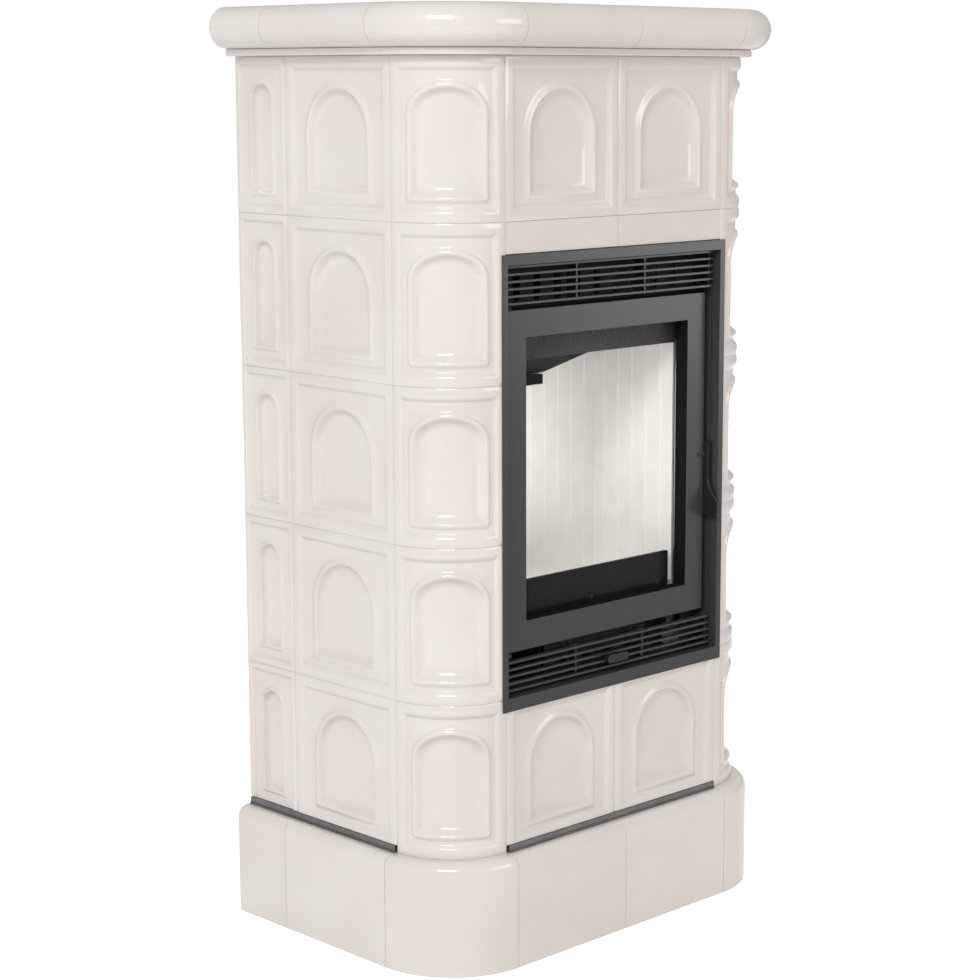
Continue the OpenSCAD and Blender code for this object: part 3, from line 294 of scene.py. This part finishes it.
def pick_hollow(tile, drop):
    """Select the many-cornered face inside the arch, at its present depth."""
    at_depth = lambda f: all(abs(v.co.y - drop) < CLOSE for v in f.verts)
    pick(tile, "FACE", lambda f: len(f.verts) > ARC_PARTS and at_depth(f))


def sink_arch(tile, section, round_foot):
    """Close the outline with a face that looks forward, and inset it along the section."""
    pick(tile, "EDGE", lambda e: e.is_boundary)
    bpy.ops.mesh.edge_face_add()
    if pick(tile, "FACE", lambda f: f.normal.y > FACING and all(v.co.y < CLAY / 4 for v in f.verts)):
        bpy.ops.mesh.flip_normals()
    first = [part for part in section if not round_foot or part[0] * MM < round_foot]
    pick_hollow(tile, PANEL_DROP)
    step_in(first)
    if round_foot:
        bpy.ops.mesh.remove_doubles(threshold=FOOT_MERGE)
        pick_hollow(tile, first[-1][1] * MM)
        step_in([first[-1], *section[len(first):]])


# %% [markdown]
# ## Flat tiles and half tiles
#
# The walls have square tiles, and half as wide ones at the back, so that the case ends in one plane. All
# come from the same steps with other widths. One tile of each kind is modelled, and copies of it are set
# later.

# %% One relief tile
ARCH_TOP = 189 * MM


def relief_tile(name, width, radius, rise, sill, section, rim=RIM_SECTION, round_foot=0.0, cuts=0):
    """One tile with its crest on the plane y = 0, its middle at x = 0 and its foot at z = 0."""
    height = TILE - SEAM
    edge_drop = rim[0][1] * MM
    rim_width = rim[-1][0] * MM
    tile = hollow_block(name, width, height, edge_drop)
    pick(tile, "FACE", lambda f: f.normal.y < -FACING and all(v.co.y < edge_drop + CLOSE for v in f.verts))
    step_in(rim)
    bpy.ops.mesh.delete(type="ONLY_FACE")
    close(tile)
    arch = arch_outline(radius, rise, sill, ARCH_TOP, round_foot)
    alone(tile)
    arch.select_set(True)
    bpy.ops.object.join()
    edit(tile)
    fill_panel(tile, rim_width, height - rim_width, sill, ARCH_TOP)
    sink_arch(tile, section, round_foot)
    for k in range(1, cuts):
        bpy.ops.mesh.select_all(action="SELECT")
        bpy.ops.mesh.bisect(plane_co=(width * (k / cuts - 0.5), 0, 0), plane_no=(1, 0, 0))
    return close(tile)


# %% Model the flat tile and the half tile
SILL = 22 * MM
FLAT_ARCH = 74.5 * MM
HALF_ARCH = 30 * MM
HALF_ARCH_SECTION = narrowed(ARCH_SECTION, 0.55)
HALF_RIM_SECTION = narrowed(RIM_SECTION, 0.62)
flat_tile = relief_tile("flat_tile", TILE - SEAM, FLAT_ARCH, FLAT_ARCH, SILL, ARCH_SECTION)
half_tile = relief_tile(
    "half_tile", TILE / 2 - SEAM, HALF_ARCH, HALF_ARCH, SILL, HALF_ARCH_SECTION, rim=HALF_RIM_SECTION
)
print("flat tile", len(flat_tile.data.polygons), "faces, half tile", len(half_tile.data.polygons))

# %% [markdown]
# ## The corner tile
#
# The rounded corner is one tile, a quarter of a cylinder, with the same rim and a narrower arch. The
# section could be spun about the corner's axis, but the arch changes with the height. So the relief is
# modelled flat, as wide as the quarter circle is long. It is cut by many upright planes, so that it can
# bend, and the Simple Deform modifier bends it through a right angle.

# %% Model the corner tile flat and bend it
CORNER_CUTS = 30
CORNER_ARCH = 63 * MM
CORNER_RISE = 46 * MM
CORNER_SILL = 24 * MM
FOOT_ROUND = 10 * MM
corner_length = pi / 2 * TILE / 2
corner_tile = relief_tile(
    "corner_tile", corner_length - SEAM, CORNER_ARCH, CORNER_RISE, CORNER_SILL, CORNER_ARCH_SECTION,
    round_foot=FOOT_ROUND, cuts=CORNER_CUTS,
)
alone(corner_tile)
bend = corner_tile.modifiers.new("bend", "SIMPLE_DEFORM")
bend.deform_method = "BEND"
bend.deform_axis = "Z"
bend.angle = pi / 2
bpy.ops.object.modifier_apply(modifier="bend")
print("corner tile", len(corner_tile.data.polygons), "faces")
print("bent to", [round(v, 4) for v in corner_tile.dimensions], "m")

# %% [markdown]
# ## How a finish is made
#
# No real surface has one flat colour. Photographs of glaze or steel could be laid on, but a procedural
# finish has no seam and no fixed size. Each one starts from a base colour and a roughness. A noise moves
# the colour between two near shades, and a finer noise raises the surface a little. All noises read
# Object coordinates, so that nothing slides when the view moves.


# %% A shader, a noise and what the noise drives
SHADE_STOPS = (0.35, 0.65)


def principled(name, colour, roughness):
    """A material with its shader and its node tree."""
    material = bpy.data.materials.new(name)
    material.use_nodes = True
    tree = material.node_tree
    shader = tree.nodes["Principled BSDF"]
    shader.inputs["Base Color"].default_value = (*colour, 1)
    shader.inputs["Roughness"].default_value = roughness
    return material, tree, shader


def noise(tree, scale, detail=3.0):
    """A noise on Object coordinates."""
    place = tree.nodes.new("ShaderNodeTexCoord")
    texture = tree.nodes.new("ShaderNodeTexNoise")
    texture.inputs["Scale"].default_value = scale
    texture.inputs["Detail"].default_value = detail
    tree.links.new(place.outputs["Object"], texture.inputs["Vector"])
    return texture.outputs["Fac"]


def mottle(tree, shader, wander, dark, light):
    """Let a noise move the base colour between two near shades."""
    ramp = tree.nodes.new("ShaderNodeValToRGB")
    for stop, place, colour in zip(ramp.color_ramp.elements, SHADE_STOPS, (dark, light)):
        stop.position = place
        stop.color = (*colour, 1)
    tree.links.new(wander, ramp.inputs["Fac"])
    tree.links.new(ramp.outputs["Color"], shader.inputs["Base Color"])


def ripple(tree, shader, height, strength, distance):
    """Let a noise raise the surface a little."""
    bump = tree.nodes.new("ShaderNodeBump")
    bump.inputs["Strength"].default_value = strength
    bump.inputs["Distance"].default_value = distance
    tree.links.new(height, bump.inputs["Height"])
    tree.links.new(bump.outputs["Normal"], shader.inputs["Normal"])


# %% Keep a finish under its name
finish = {}


def make_finish(name, colour, roughness, blotches, dark, light, metal=0.0, specular=0.5, bumps=None):
    """A mottled finish; bumps are the scale, detail, strength and distance of its unevenness."""
    material, tree, shader = principled(name, colour, roughness)
    shader.inputs["Metallic"].default_value = metal
    shader.inputs["Specular IOR Level"].default_value = specular
    mottle(tree, shader, noise(tree, blotches), dark, light)
    if bumps:
        scale, detail, strength, distance = bumps
        ripple(tree, shader, noise(tree, scale, detail), strength, distance)
    finish[name] = material
    return shader


# %% [markdown]
# ## The glaze
#
# Stove glaze is a thick glassy layer, melted on the clay, and it pools to slightly different shades. A
# rougher base under a clear coat gives both of its reflections: a broad soft one from the clay and a
# sharp one from the glass. The ripple is very faint, as molten glaze levels itself.

# %% Cream glaze
glazed = make_finish(
    "cream_glaze", (0.76, 0.70, 0.65), 0.16, 6.0, (0.74, 0.675, 0.62), (0.78, 0.72, 0.67),
    bumps=(90.0, 2.0, 0.05, 0.001),
)
glazed.inputs["Coat Weight"].default_value = 0.6
glazed.inputs["Coat Roughness"].default_value = 0.05
print("glaze made")

# %% [markdown]
# ## Painted metal
#
# The portal, the door and the grilles wear a satin graphite stove paint with a very fine grain. The
# sheets behind them are matt black. Paint hides the metal, so neither is metallic, and a lower specular
# level keeps them dark where they mirror the studio. Soot and scale leave the log fence and the baffle
# blacker still. The same black is also painted shade, on the edge of the door that turns in to the glass.

# %% Graphite paint, black paint, and a soot black that also paints shade
make_finish(
    "graphite_paint", (0.044, 0.044, 0.044), 0.3, 400.0, (0.041, 0.041, 0.041), (0.048, 0.048, 0.048),
    specular=0.3, bumps=(1500.0, 3.0, 0.12, 0.0003),
)
make_finish(
    "dark_steel", (0.024, 0.024, 0.024), 0.6, 60.0, (0.022, 0.022, 0.022), (0.027, 0.027, 0.026),
    specular=0.25,
)
# Soot on the fence and the baffle; on the door's reveal this black is painted shade.
make_finish(
    "soot_and_shade_black", (0.006, 0.006, 0.006), 0.8, 200.0, (0.005, 0.005, 0.005), (0.008, 0.008, 0.008),
    specular=0.1,
)
print("paints made")

# %% [markdown]
# ## Bare metal and cast iron
#
# The base frame and the steel body are plain grey plate, the back panel zinc-coated sheet with its cloudy
# crystals, and the screws and pins are bright. Brushed lines could be drawn with a stretched noise, but
# these pieces are small or hidden, so blotches of different size are enough. Cast iron comes from a sand
# mould, so it is dark, half metallic and grainy. The handle and the knob are cast too, and painted black.

# %% Steel, zinc and iron
make_finish(
    "plain_steel", (0.205, 0.2, 0.195), 0.42, 25.0, (0.19, 0.185, 0.18), (0.225, 0.22, 0.215), metal=1.0
)
make_finish(
    "zinc_sheet", (0.52, 0.54, 0.55), 0.38, 45.0, (0.46, 0.48, 0.49), (0.58, 0.6, 0.61), metal=1.0
)
make_finish(
    "bright_steel", (0.62, 0.62, 0.61), 0.24, 120.0, (0.58, 0.58, 0.57), (0.66, 0.66, 0.65), metal=1.0
)
make_finish(
    "cast_iron", (0.045, 0.043, 0.041), 0.62, 200.0, (0.038, 0.036, 0.035), (0.055, 0.052, 0.05), metal=0.4,
    bumps=(700.0, 3.0, 0.35, 0.0006),
)
make_finish(
    "black_cast", (0.018, 0.018, 0.019), 0.36, 300.0, (0.015, 0.015, 0.016), (0.022, 0.022, 0.023),
    metal=0.3,
)
print("metals made")

# %% [markdown]
# ## The lining and the rope
#
# The fluted slabs of the fire chamber are pressed fireclay, pale and dry. The rope in the door's seal is
# braided glass fibre, dark and very rough. Its strands could be modelled, but it hides behind the door, so
# a coarse bump stands for them.

# %% Fireclay and glass-fibre rope
make_finish(
    "fire_lining", (0.86, 0.84, 0.81), 0.8, 30.0, (0.84, 0.82, 0.79), (0.88, 0.86, 0.83),
    bumps=(250.0, 3.0, 0.2, 0.0005),
)
make_finish(
    "seal_rope", (0.09, 0.09, 0.088), 0.95, 500.0, (0.06, 0.06, 0.058), (0.13, 0.13, 0.126),
    bumps=(900.0, 3.0, 0.6, 0.001),
)
print("lining and rope made")

# %% [markdown]
# ## The glass
#
# The door holds a clear ceramic pane, and the photograph shows the chamber through it with hardly a
# reflection. A pane of ordinary glass would mirror the lamps, so its index of refraction is set close to
# that of air. Glass also blocks lamps in a render, although it lets light through in life. So shadow rays
# and diffuse rays meet a Transparent shader, which Light Path chooses, and the chamber behind the pane
# stays lit.


# %% Tell one ray from another
def ray_is(tree, first, second):
    """One where the ray is of either kind, and zero elsewhere; with the Light Path node it comes from."""
    path = tree.nodes.new("ShaderNodeLightPath")
    either = tree.nodes.new("ShaderNodeMath")
    either.operation = "MAXIMUM"
    tree.links.new(path.outputs[f"Is {first} Ray"], either.inputs[0])
    tree.links.new(path.outputs[f"Is {second} Ray"], either.inputs[1])
    return either.outputs["Value"], path


# %% Fire glass
pane, tree, shader = principled("fire_glass", (0.97, 0.97, 0.965), 0.0)
shader.inputs["IOR"].default_value = 1.1
shader.inputs["Transmission Weight"].default_value = 1.0
clear = tree.nodes.new("ShaderNodeBsdfTransparent")
clear.inputs["Color"].default_value = (0.94, 0.94, 0.93, 1)
choose = tree.nodes.new("ShaderNodeMixShader")
lamp_or_bounce, _ = ray_is(tree, "Shadow", "Diffuse")
tree.links.new(lamp_or_bounce, choose.inputs["Fac"])
tree.links.new(shader.outputs["BSDF"], choose.inputs[1])
tree.links.new(clear.outputs["BSDF"], choose.inputs[2])
tree.links.new(choose.outputs["Shader"], tree.nodes["Material Output"].inputs["Surface"])
finish["fire_glass"] = pane
print(len(finish), "finishes")

# %% [markdown]
# ## Finishes on the CAD pieces
#
# The record names a finish for each piece of the model. All pieces take theirs first, also those that
# hide behind others. A few then change to what the photograph shows: the air box is as dark as the sheets
# round it, the fence and the baffle are sooty, and the handle's pin is painted with the door.


# %% Give each CAD node its finish
def coat(piece, name):
    """One finish on the whole piece."""
    piece.data.materials.clear()
    piece.data.materials.append(finish[name])


node_slot = {part["node"]: part["material_slot"] for part in frame["record"]["subparts"]}
for name, node in nodes.items():
    coat(node, node_slot[name])
for name in ("air_plate", "air_box"):
    coat(nodes[name], "dark_steel")
for name in ("log_fence", "smoke_baffle", "baffle_bracket"):
    coat(nodes[name], "soot_and_shade_black")
coat(nodes["handle_pin"], "graphite_paint")
print("slots in use:", sorted(set(node_slot.values())))

# %% [markdown]
# ## Setting the tiles
#
# The tiles are set in columns, as on the real stove. An Array modifier could repeat them, but the lowest
# tiles are cut to stand on the steel base frame, and the two under the portal at its edge. So each place
# gets a copy with its own mesh, turned to face outwards. The corner tile turns about the corner's axis, so
# it is first moved off that axis by its radius.


# %% Set one tile
SMOOTH = 30


def smooth(piece, angle=SMOOTH):
    """Shade smooth, and keep every edge sharper than the angle."""
    alone(piece)
    bpy.ops.object.shade_smooth_by_angle(angle=radians(angle))


def set_tile(pattern, name, place, turn, node, pivot=0.0):
    """A copy of a tile, turned about the upright axis and moved to its place."""
    tile = pattern.copy()
    tile.data = pattern.data.copy()
    tile.name = tile.data.name = name
    bpy.context.scene.collection.objects.link(tile)
    spin = Matrix.Rotation(turn, 4, "Z") @ Matrix.Translation((0, -pivot, 0))
    tile.data.transform(Matrix.Translation(place) @ spin)
    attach(tile, "stove")
    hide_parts(node)
    coat(tile, "cream_glaze")
    return tile


def cut_tile(tile, height, keep_above):
    """Cut a tile level, as a tiler does with a saw, close the cut, and shade the new edge sharp."""
    edit(tile)
    bpy.ops.mesh.bisect(
        plane_co=(0, 0, height), plane_no=(0, 0, 1), use_fill=True,
        clear_inner=keep_above, clear_outer=not keep_above,
    )
    close(tile)
    smooth(tile)


# %% Set the corner, side and half tiles of one row
flat_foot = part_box("side_tiles_right")[0].z
portal_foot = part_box("lower_front_tiles")[1].z
flat_y = FRONT_Y + TILE
half_y = flat_y + (TILE + TILE / 2) / 2


def set_side(row, foot, side, word):
    """The three tiles of a row on one side of the stove."""
    turn = side * pi / 2
    corner = set_tile(
        corner_tile, f"corner_tile_{word}_{row}", (side * CORNER_X, FRONT_Y + TILE / 2, foot), turn / 2,
        f"corner_tiles_{word}", pivot=TILE / 2,
    )
    flat = set_tile(
        flat_tile, f"side_tile_{word}_{row}", (side * SIDE_X, flat_y, foot), turn, f"side_tiles_{word}"
    )
    half = set_tile(
        half_tile, f"half_tile_{word}_{row}", (side * SIDE_X, half_y, foot), turn, f"half_tiles_{word}"
    )
    if row == 1:
        cut_tile(flat, flat_foot, keep_above=True)
        cut_tile(half, flat_foot, keep_above=True)
    return [corner, flat, half]


# %% Set all the rows, with front tiles in the lowest and the highest
for pattern in (flat_tile, half_tile, corner_tile):
    smooth(pattern)
tiles = []
for row in range(1, ROWS + 1):
    foot = WALL_Z + (row - 1) * TILE + SEAM / 2
    for side, word in ((1, "right"), (-1, "left")):
        tiles += set_side(row, foot, side, word)
        if row not in (1, ROWS):
            continue
        node = "lower_front_tiles" if row == 1 else "upper_front_tiles"
        front = set_tile(flat_tile, f"front_tile_{word}_{row}", (side * TILE / 2, FRONT_Y, foot), 0, node)
        tiles.append(front)
        if row == 1:
            cut_tile(front, flat_foot, keep_above=True)
            cut_tile(front, portal_foot, keep_above=False)
for pattern in (flat_tile, half_tile, corner_tile):
    bpy.data.objects.remove(pattern)
print(len(tiles), "tiles set")

# %% [markdown]
# ## Eased edges
#
# A glazed moulding and a folded sheet have no knife edge. The plain pieces keep their CAD shape: a copy
# is merged, its flat triangles are joined, and a narrow bevel rounds the sharp edges, so that they catch
# the light. The Weighted Normal modifier then keeps the wide faces flat, where plain smooth shading would
# make them bulge.

# %% Round the sharp edges
SHARP = 32
EDGE_STEPS = 2


def round_edges(piece, width):
    """Round every edge sharper than SHARP degrees with a narrow bevel."""
    alone(piece)
    bevel = piece.modifiers.new("bevel", "BEVEL")
    bevel.width = width
    bevel.segments = EDGE_STEPS
    bevel.limit_method = "ANGLE"
    bevel.angle_limit = radians(SHARP)
    bevel.miter_outer = "MITER_ARC"
    bpy.ops.object.modifier_apply(modifier=bevel.name)


# %% Copy a node with eased edges
DOUBLES = 0.002 * MM


def eased(node, width, body="stove", shape=None):
    """A copy of a CAD node, changed by a shape function if one is given, with its sharp edges rounded."""
    piece = nodes[node].copy()
    piece.data = nodes[node].data.copy()
    piece.name = piece.data.name = f"{node}_dressed"
    piece.parent = None
    # The node's own marks would make the copy pass for a CAD piece.
    for key in list(piece.keys()):
        del piece[key]
    bpy.context.scene.collection.objects.link(piece)
    edit(piece)
    bpy.ops.mesh.customdata_custom_splitnormals_clear()
    bpy.ops.mesh.remove_doubles(threshold=DOUBLES)
    bpy.ops.mesh.tris_convert_to_quads(face_threshold=radians(1), shape_threshold=radians(180))
    if shape:
        shape(piece)
    close(piece)
    round_edges(piece, width)
    smooth(piece, SHARP)
    level = piece.modifiers.new("flat faces stay flat", "WEIGHTED_NORMAL")
    level.keep_sharp = True
    bpy.ops.object.modifier_apply(modifier=level.name)
    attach(piece, body)
    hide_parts(node)
    return piece


def move(piece, test, shift):
    """Move the vertices that pass a test."""
    pick(piece, "VERT", test)
    bpy.ops.transform.translate(value=shift)


# %% [markdown]
# ## Plinth, fillet and cornice
#
# The plain ceramic pieces butt against each other with joints that the photograph barely shows. Their CAD
# copies stand 0.8 mm apart. Longer copies could be modelled, but it is enough to push the end faces
# towards the middle of each joint: vertices that lie within a hair of a joint's plane move closer to it,
# on both sides.

# %% Close the joints of the plain ceramic pieces
JOINT_PLANES = (
    (0, 0), (0, CORNER_X), (0, -CORNER_X), (1, FRONT_Y + TILE / 2), (1, FRONT_Y + 1.5 * TILE),
    (2, WALL_Z + (ROWS - 1) * TILE),
)
NEAR, FAR, GROW = 0.2 * MM, 0.65 * MM, 0.24 * MM


def tighten(piece):
    """Push the ends of the pieces towards the middle of each joint, given as an axis and a place on it."""
    for axis, plane in JOINT_PLANES:
        for side in (1, -1):
            shift = Vector((0, 0, 0))
            shift[axis] = -side * GROW
            move(piece, lambda v: NEAR < side * (v.co[axis] - plane) < FAR, shift)


CERAMIC = (
    "plinth_corners", "plinth_front", "plinth_sides", "plinth_rear_ends",
    "fillet_corners", "fillet_front", "fillet_sides",
    "cornice_corners", "cornice_front", "cornice_sides", "cornice_rear_ends", "filler_tiles",
)
for node in CERAMIC:
    eased(node, 1.0 * MM, shape=tighten)
print(len(CERAMIC), "kinds of plain ceramic pieces eased")

# %% [markdown]
# ## Portal frame and base frame
#
# The portal is folded from one sheet, and the base frame is a welded ring whose lip shows as a grey line
# under the flat tiles. The photograph shows a thinner top to the portal than the solids have. It could be
# modelled anew, but the rest of it is right, so only the upper edge of its opening is raised in the copy,
# and that of the collar behind it by as much.

# %% Raise the head of the opening
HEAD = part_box("upper_grille")[1].z
HEAD_LIFT = 5 * MM
HEAD_REACH = 3.5 * MM


def lift_head(piece):
    """Raise the upper edge of the opening, as far as the frame of the real insert leaves it open."""
    move(piece, lambda v: abs(v.co.z - HEAD) < HEAD_REACH, (0, 0, HEAD_LIFT))


eased("portal_frame", 0.6 * MM, shape=lift_head)
eased("base_frame", 0.4 * MM)
print("head of the opening raised to", round(HEAD + HEAD_LIFT, 4), "m")

# %% [markdown]
# ## Door frame and collar
#
# Some pieces have two finishes. The door frame is graphite in front, and the edge that turns in to the
# glass is painted black: painted shade for the dark reveal. The inner front frame is black inside, and
# its collar takes the lighter paint of the portal, as painted light where the door shades it. Each could
# be split, but it is one sheet, so the second finish is given to the faces that pass a test of their place.


# %% A second finish on part of a piece
def paint(piece, name, test):
    """Give the faces that pass a test another finish."""
    piece.data.materials.append(finish[name])
    for face in piece.data.polygons:
        if test(face):
            face.material_index = 1


def seen_within(place, low, high, lap=0.0):
    """Whether a place lies inside a box as seen from the front, the box widened by a lap."""
    return low.x - lap < place.x < high.x + lap and low.z - lap < place.z < high.z + lap


# %% Door frame with painted shade on its reveal, inner front frame with a collar lightened as painted light
REVEAL = 25 * MM
SIDEWAYS = 0.5
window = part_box("door_glass")
door_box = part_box("door_frame")
door = eased("door_frame", 0.8 * MM, body="door")
turns_in = lambda face: abs(face.normal.x) > SIDEWAYS or abs(face.normal.z) > SIDEWAYS
# The black on the faces that turn in to the glass is painted shade.
paint(door, "soot_and_shade_black", lambda face: turns_in(face) and seen_within(face.center, *window, REVEAL))
collar = eased("insert_front", 0.3 * MM, shape=lift_head)
# The portal's lighter paint on the collar is painted light, where the door shades it.
paint(collar, "graphite_paint", lambda face: not seen_within(face.center, *door_box))
print("door frame", len(door.data.polygons), "faces, inner front frame", len(collar.data.polygons))

# %% [markdown]
# ## Grilles and handle
#
# Thin bars on upright ribs let the warm air out over the door. The photograph shows one bar more in the
# upper grille than the solids have. An Array modifier could set all the bars anew, but five of them are
# there already. So its ribs are lengthened, and one more bar is made from a stretched cube with the same
# rounded edges, at the same pitch, and joined to them. The handle is a curved casting.

# %% Lengthen the ribs of the upper grille
BAR_PITCH = 10 * MM
RIB_LOW, RIB_HIGH = 5 * MM, 1 * MM
RIB_LIFT = BAR_PITCH - RIB_HIGH
FRAME_END = 0.5 * MM
FRAME_LIFT = HEAD_LIFT - 0.1 * MM


def lengthen_ribs(piece):
    """Raise the ribs' ends to the new bar, and the grille's own ends to the head of the opening."""
    move(piece, lambda v: HEAD - RIB_LOW < v.co.z < HEAD - RIB_HIGH, (0, 0, RIB_LIFT))
    move(piece, lambda v: abs(v.co.z - HEAD) < FRAME_END, (0, 0, FRAME_LIFT))


# %% Upper grille with its sixth bar
BAR_EDGE = 0.3 * MM
BAR_BACK, BAR_DEEP, BAR_THICK = 9 * MM, 9 * MM, 3.2 * MM
BAR_ABOVE_HEAD = 2.3 * MM
grille_low, grille_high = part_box("upper_grille")
bar_y = FRONT_Y + BAR_BACK + BAR_DEEP / 2
bpy.ops.object.select_all(action="DESELECT")
bpy.ops.mesh.primitive_cube_add(size=1, location=(0, bar_y, HEAD + BAR_ABOVE_HEAD))
bpy.context.object.scale = (grille_high.x - grille_low.x, BAR_DEEP, BAR_THICK)
bar = new_piece("top_bar")
round_edges(bar, BAR_EDGE)
coat(bar, "graphite_paint")
grille = eased("upper_grille", BAR_EDGE, shape=lengthen_ribs)
alone(grille)
bar.select_set(True)
bpy.ops.object.join()
print("upper grille", len(grille.data.polygons), "faces")

# %% Lower grille and handle
eased("lower_grille", BAR_EDGE)
eased("door_handle", 1.0 * MM, body="handle")
print("eased pieces made")

# %% [markdown]
# ## Floor and backdrop
#
# The stove stands in a plain white studio. More light would turn the floor white, but it would bleach the
# glaze too. So Light Path lifts the floor and the backdrop only where the camera sees them, straight or
# through the glass. The floor still takes the stove's soft shadow, and polished surfaces mirror a dimmer
# studio.

# %% Floor
FLOOR_SIZE = 14
FLOOR_GLOW = 0.75
FLOOR_MIRRORED = 0.15
bpy.ops.object.select_all(action="DESELECT")
bpy.ops.mesh.primitive_plane_add(size=FLOOR_SIZE, location=(0, 0, cad_low.z))
floor = new_piece("floor")
floor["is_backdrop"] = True
ground, tree, shader = principled("floor_white", (0.88, 0.88, 0.88), 0.9)
seen, path = ray_is(tree, "Camera", "Transmission")
mirrored = tree.nodes.new("ShaderNodeMath")
mirrored.operation = "MULTIPLY"
mirrored.inputs[1].default_value = FLOOR_MIRRORED
tree.links.new(path.outputs["Is Glossy Ray"], mirrored.inputs[0])
glow = tree.nodes.new("ShaderNodeMath")
glow.operation = "MULTIPLY_ADD"
glow.inputs[1].default_value = FLOOR_GLOW
tree.links.new(seen, glow.inputs[0])
tree.links.new(mirrored.outputs["Value"], glow.inputs[2])
shader.inputs["Emission Color"].default_value = (1, 1, 1, 1)
tree.links.new(glow.outputs["Value"], shader.inputs["Emission Strength"])
floor.data.materials.append(ground)
print("floor of", floor.dimensions.x, "m")

# %% Backdrop
WORLD_LIGHT = 0.5
WORLD_SEEN = 1.0
world = bpy.data.worlds.new("studio")
bpy.context.scene.world = world
world.use_nodes = True
tree = world.node_tree
backdrop = tree.nodes["Background"]
seen, _ = ray_is(tree, "Camera", "Transmission")
level = tree.nodes.new("ShaderNodeMapRange")
level.inputs["To Min"].default_value = WORLD_LIGHT
level.inputs["To Max"].default_value = WORLD_SEEN
tree.links.new(seen, level.inputs["Value"])
tree.links.new(level.outputs["Result"], backdrop.inputs["Strength"])
backdrop.inputs["Color"].default_value = (1, 1, 1, 1)
print("backdrop", WORLD_SEEN, "to the camera and", WORLD_LIGHT, "to the rest")

# %% [markdown]
# ## Lamps
#
# The highlights of the photograph say where its lamps stood. Each rounded corner tile carries one small
# bright streak, from a high lamp at the left. The front is lit by a broad lamp with a warmer tint. Two
# more lamps fill the left side and the back, and they are hidden from reflections, so that the glaze
# keeps its single streak.


# %% A soft rectangular lamp
MIDDLE = (0, 0, 0.66)


def softbox(name, place, width, height, watts, aim=MIDDLE, colour=(1, 1, 1)):
    """A soft rectangular lamp that looks at one point."""
    data = bpy.data.lights.new(name, "AREA")
    data.shape = "RECTANGLE"
    data.size = width
    data.size_y = height
    data.energy = watts
    data.color = colour
    lamp = bpy.data.objects.new(name, data)
    bpy.context.scene.collection.objects.link(lamp)
    lamp.location = place
    lamp.rotation_euler = (Vector(aim) - Vector(place)).to_track_quat("-Z", "Y").to_euler()
    return lamp


# %% Lamps round the stove
softbox("lamp_key", (-3.7, -2.75, 4.0), 2.0, 1.1, 113, colour=(0.94, 1.0, 0.99))
left = softbox("lamp_left", (-4.6, -0.4, 2.0), 2.2, 1.6, 40, colour=(0.97, 1.0, 0.99))
left.visible_glossy = False
softbox("lamp_front", (1.4, -4.4, 2.2), 2.4, 1.6, 33, colour=(1.0, 0.88, 0.86))
back = softbox("lamp_back", (3.4, 3.2, 2.6), 2.4, 1.8, 70)
back.visible_glossy = False
print("lamps round the stove set")

# %% [markdown]
# ## A card for the door and a lamp for the chamber
#
# A photographer holds a white card beside a dark satin door, to give it a soft sheen that grows to one
# side. A plain lamp there would also streak the glaze and the glass. Light linking lets it reach a
# collection of painted metal alone, and only as a reflection. A last small lamp stands in the door's
# opening and brightens the pale lining, as light through the glass does in the photograph. The camera and
# all reflections miss it.

# %% Card and chamber lamp
PAINTED = ("portal_frame", "door_frame", "upper_grille", "lower_grille", "insert_front", "door_handle")
card = softbox("lamp_card", (2.9, -2.5, 0.75), 1.1, 0.6, 14, aim=(0, -0.2, 0.9))
card.visible_diffuse = False
painted = bpy.data.collections.new("painted metal")
for name in PAINTED:
    painted.objects.link(bpy.data.objects[f"{name}_dressed"])
card.light_linking.receiver_collection = painted
chamber = softbox("lamp_chamber", (-0.06, cad_low.y + 0.07, 0.71), 0.22, 0.26, 0.4, aim=(0.11, 0.02, 0.72))
chamber.visible_camera = False
chamber.visible_glossy = False

# %% [markdown]
# ## Camera
#
# The camera was solved from some sixty points at the tile joints of the photograph, whose real places are
# known from the layout. Turning the camera by eye would never bring all the joints into line. The
# picture's centre isn't quite the lens's centre, so a small shift moves it.

# %% Camera
LENS_PIXELS = 2352.8
IMAGE_PIXELS = 980
CENTRE_U = 533.15
CENTRE_V = 486.37
SENSOR = 36
CAMERA_PLACE = (-2.42338, -2.2646 + FRONT_Y, 1.23403)
LOOK_DOWN = 9.867
LOOK_RIGHT = 44.866
camera_data = bpy.data.cameras.new("camera")
camera_data.sensor_width = SENSOR
camera_data.lens = SENSOR * LENS_PIXELS / IMAGE_PIXELS
camera_data.shift_x = (IMAGE_PIXELS / 2 - CENTRE_U) / IMAGE_PIXELS
camera_data.shift_y = (CENTRE_V - IMAGE_PIXELS / 2) / IMAGE_PIXELS
camera = bpy.data.objects.new("camera", camera_data)
bpy.context.scene.collection.objects.link(camera)
camera.location = CAMERA_PLACE
camera.rotation_euler = (radians(90 - LOOK_DOWN), 0, radians(-LOOK_RIGHT))
bpy.context.scene.camera = camera
bpy.context.scene.view_settings.view_transform = "Standard"
print("camera with a lens of", round(camera_data.lens, 1), "mm")

# %% [markdown]
# ## Both boxes
#
# The dressed stove must not outgrow its CAD model. So the growth of its box over the CAD box is
# printed.

# %% Print how much the box grows
low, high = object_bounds()
growth = [round((a - b) * 1000, 2) for a, b in zip(high - low, cad_high - cad_low)]
print("visual box grows by", growth, "mm")
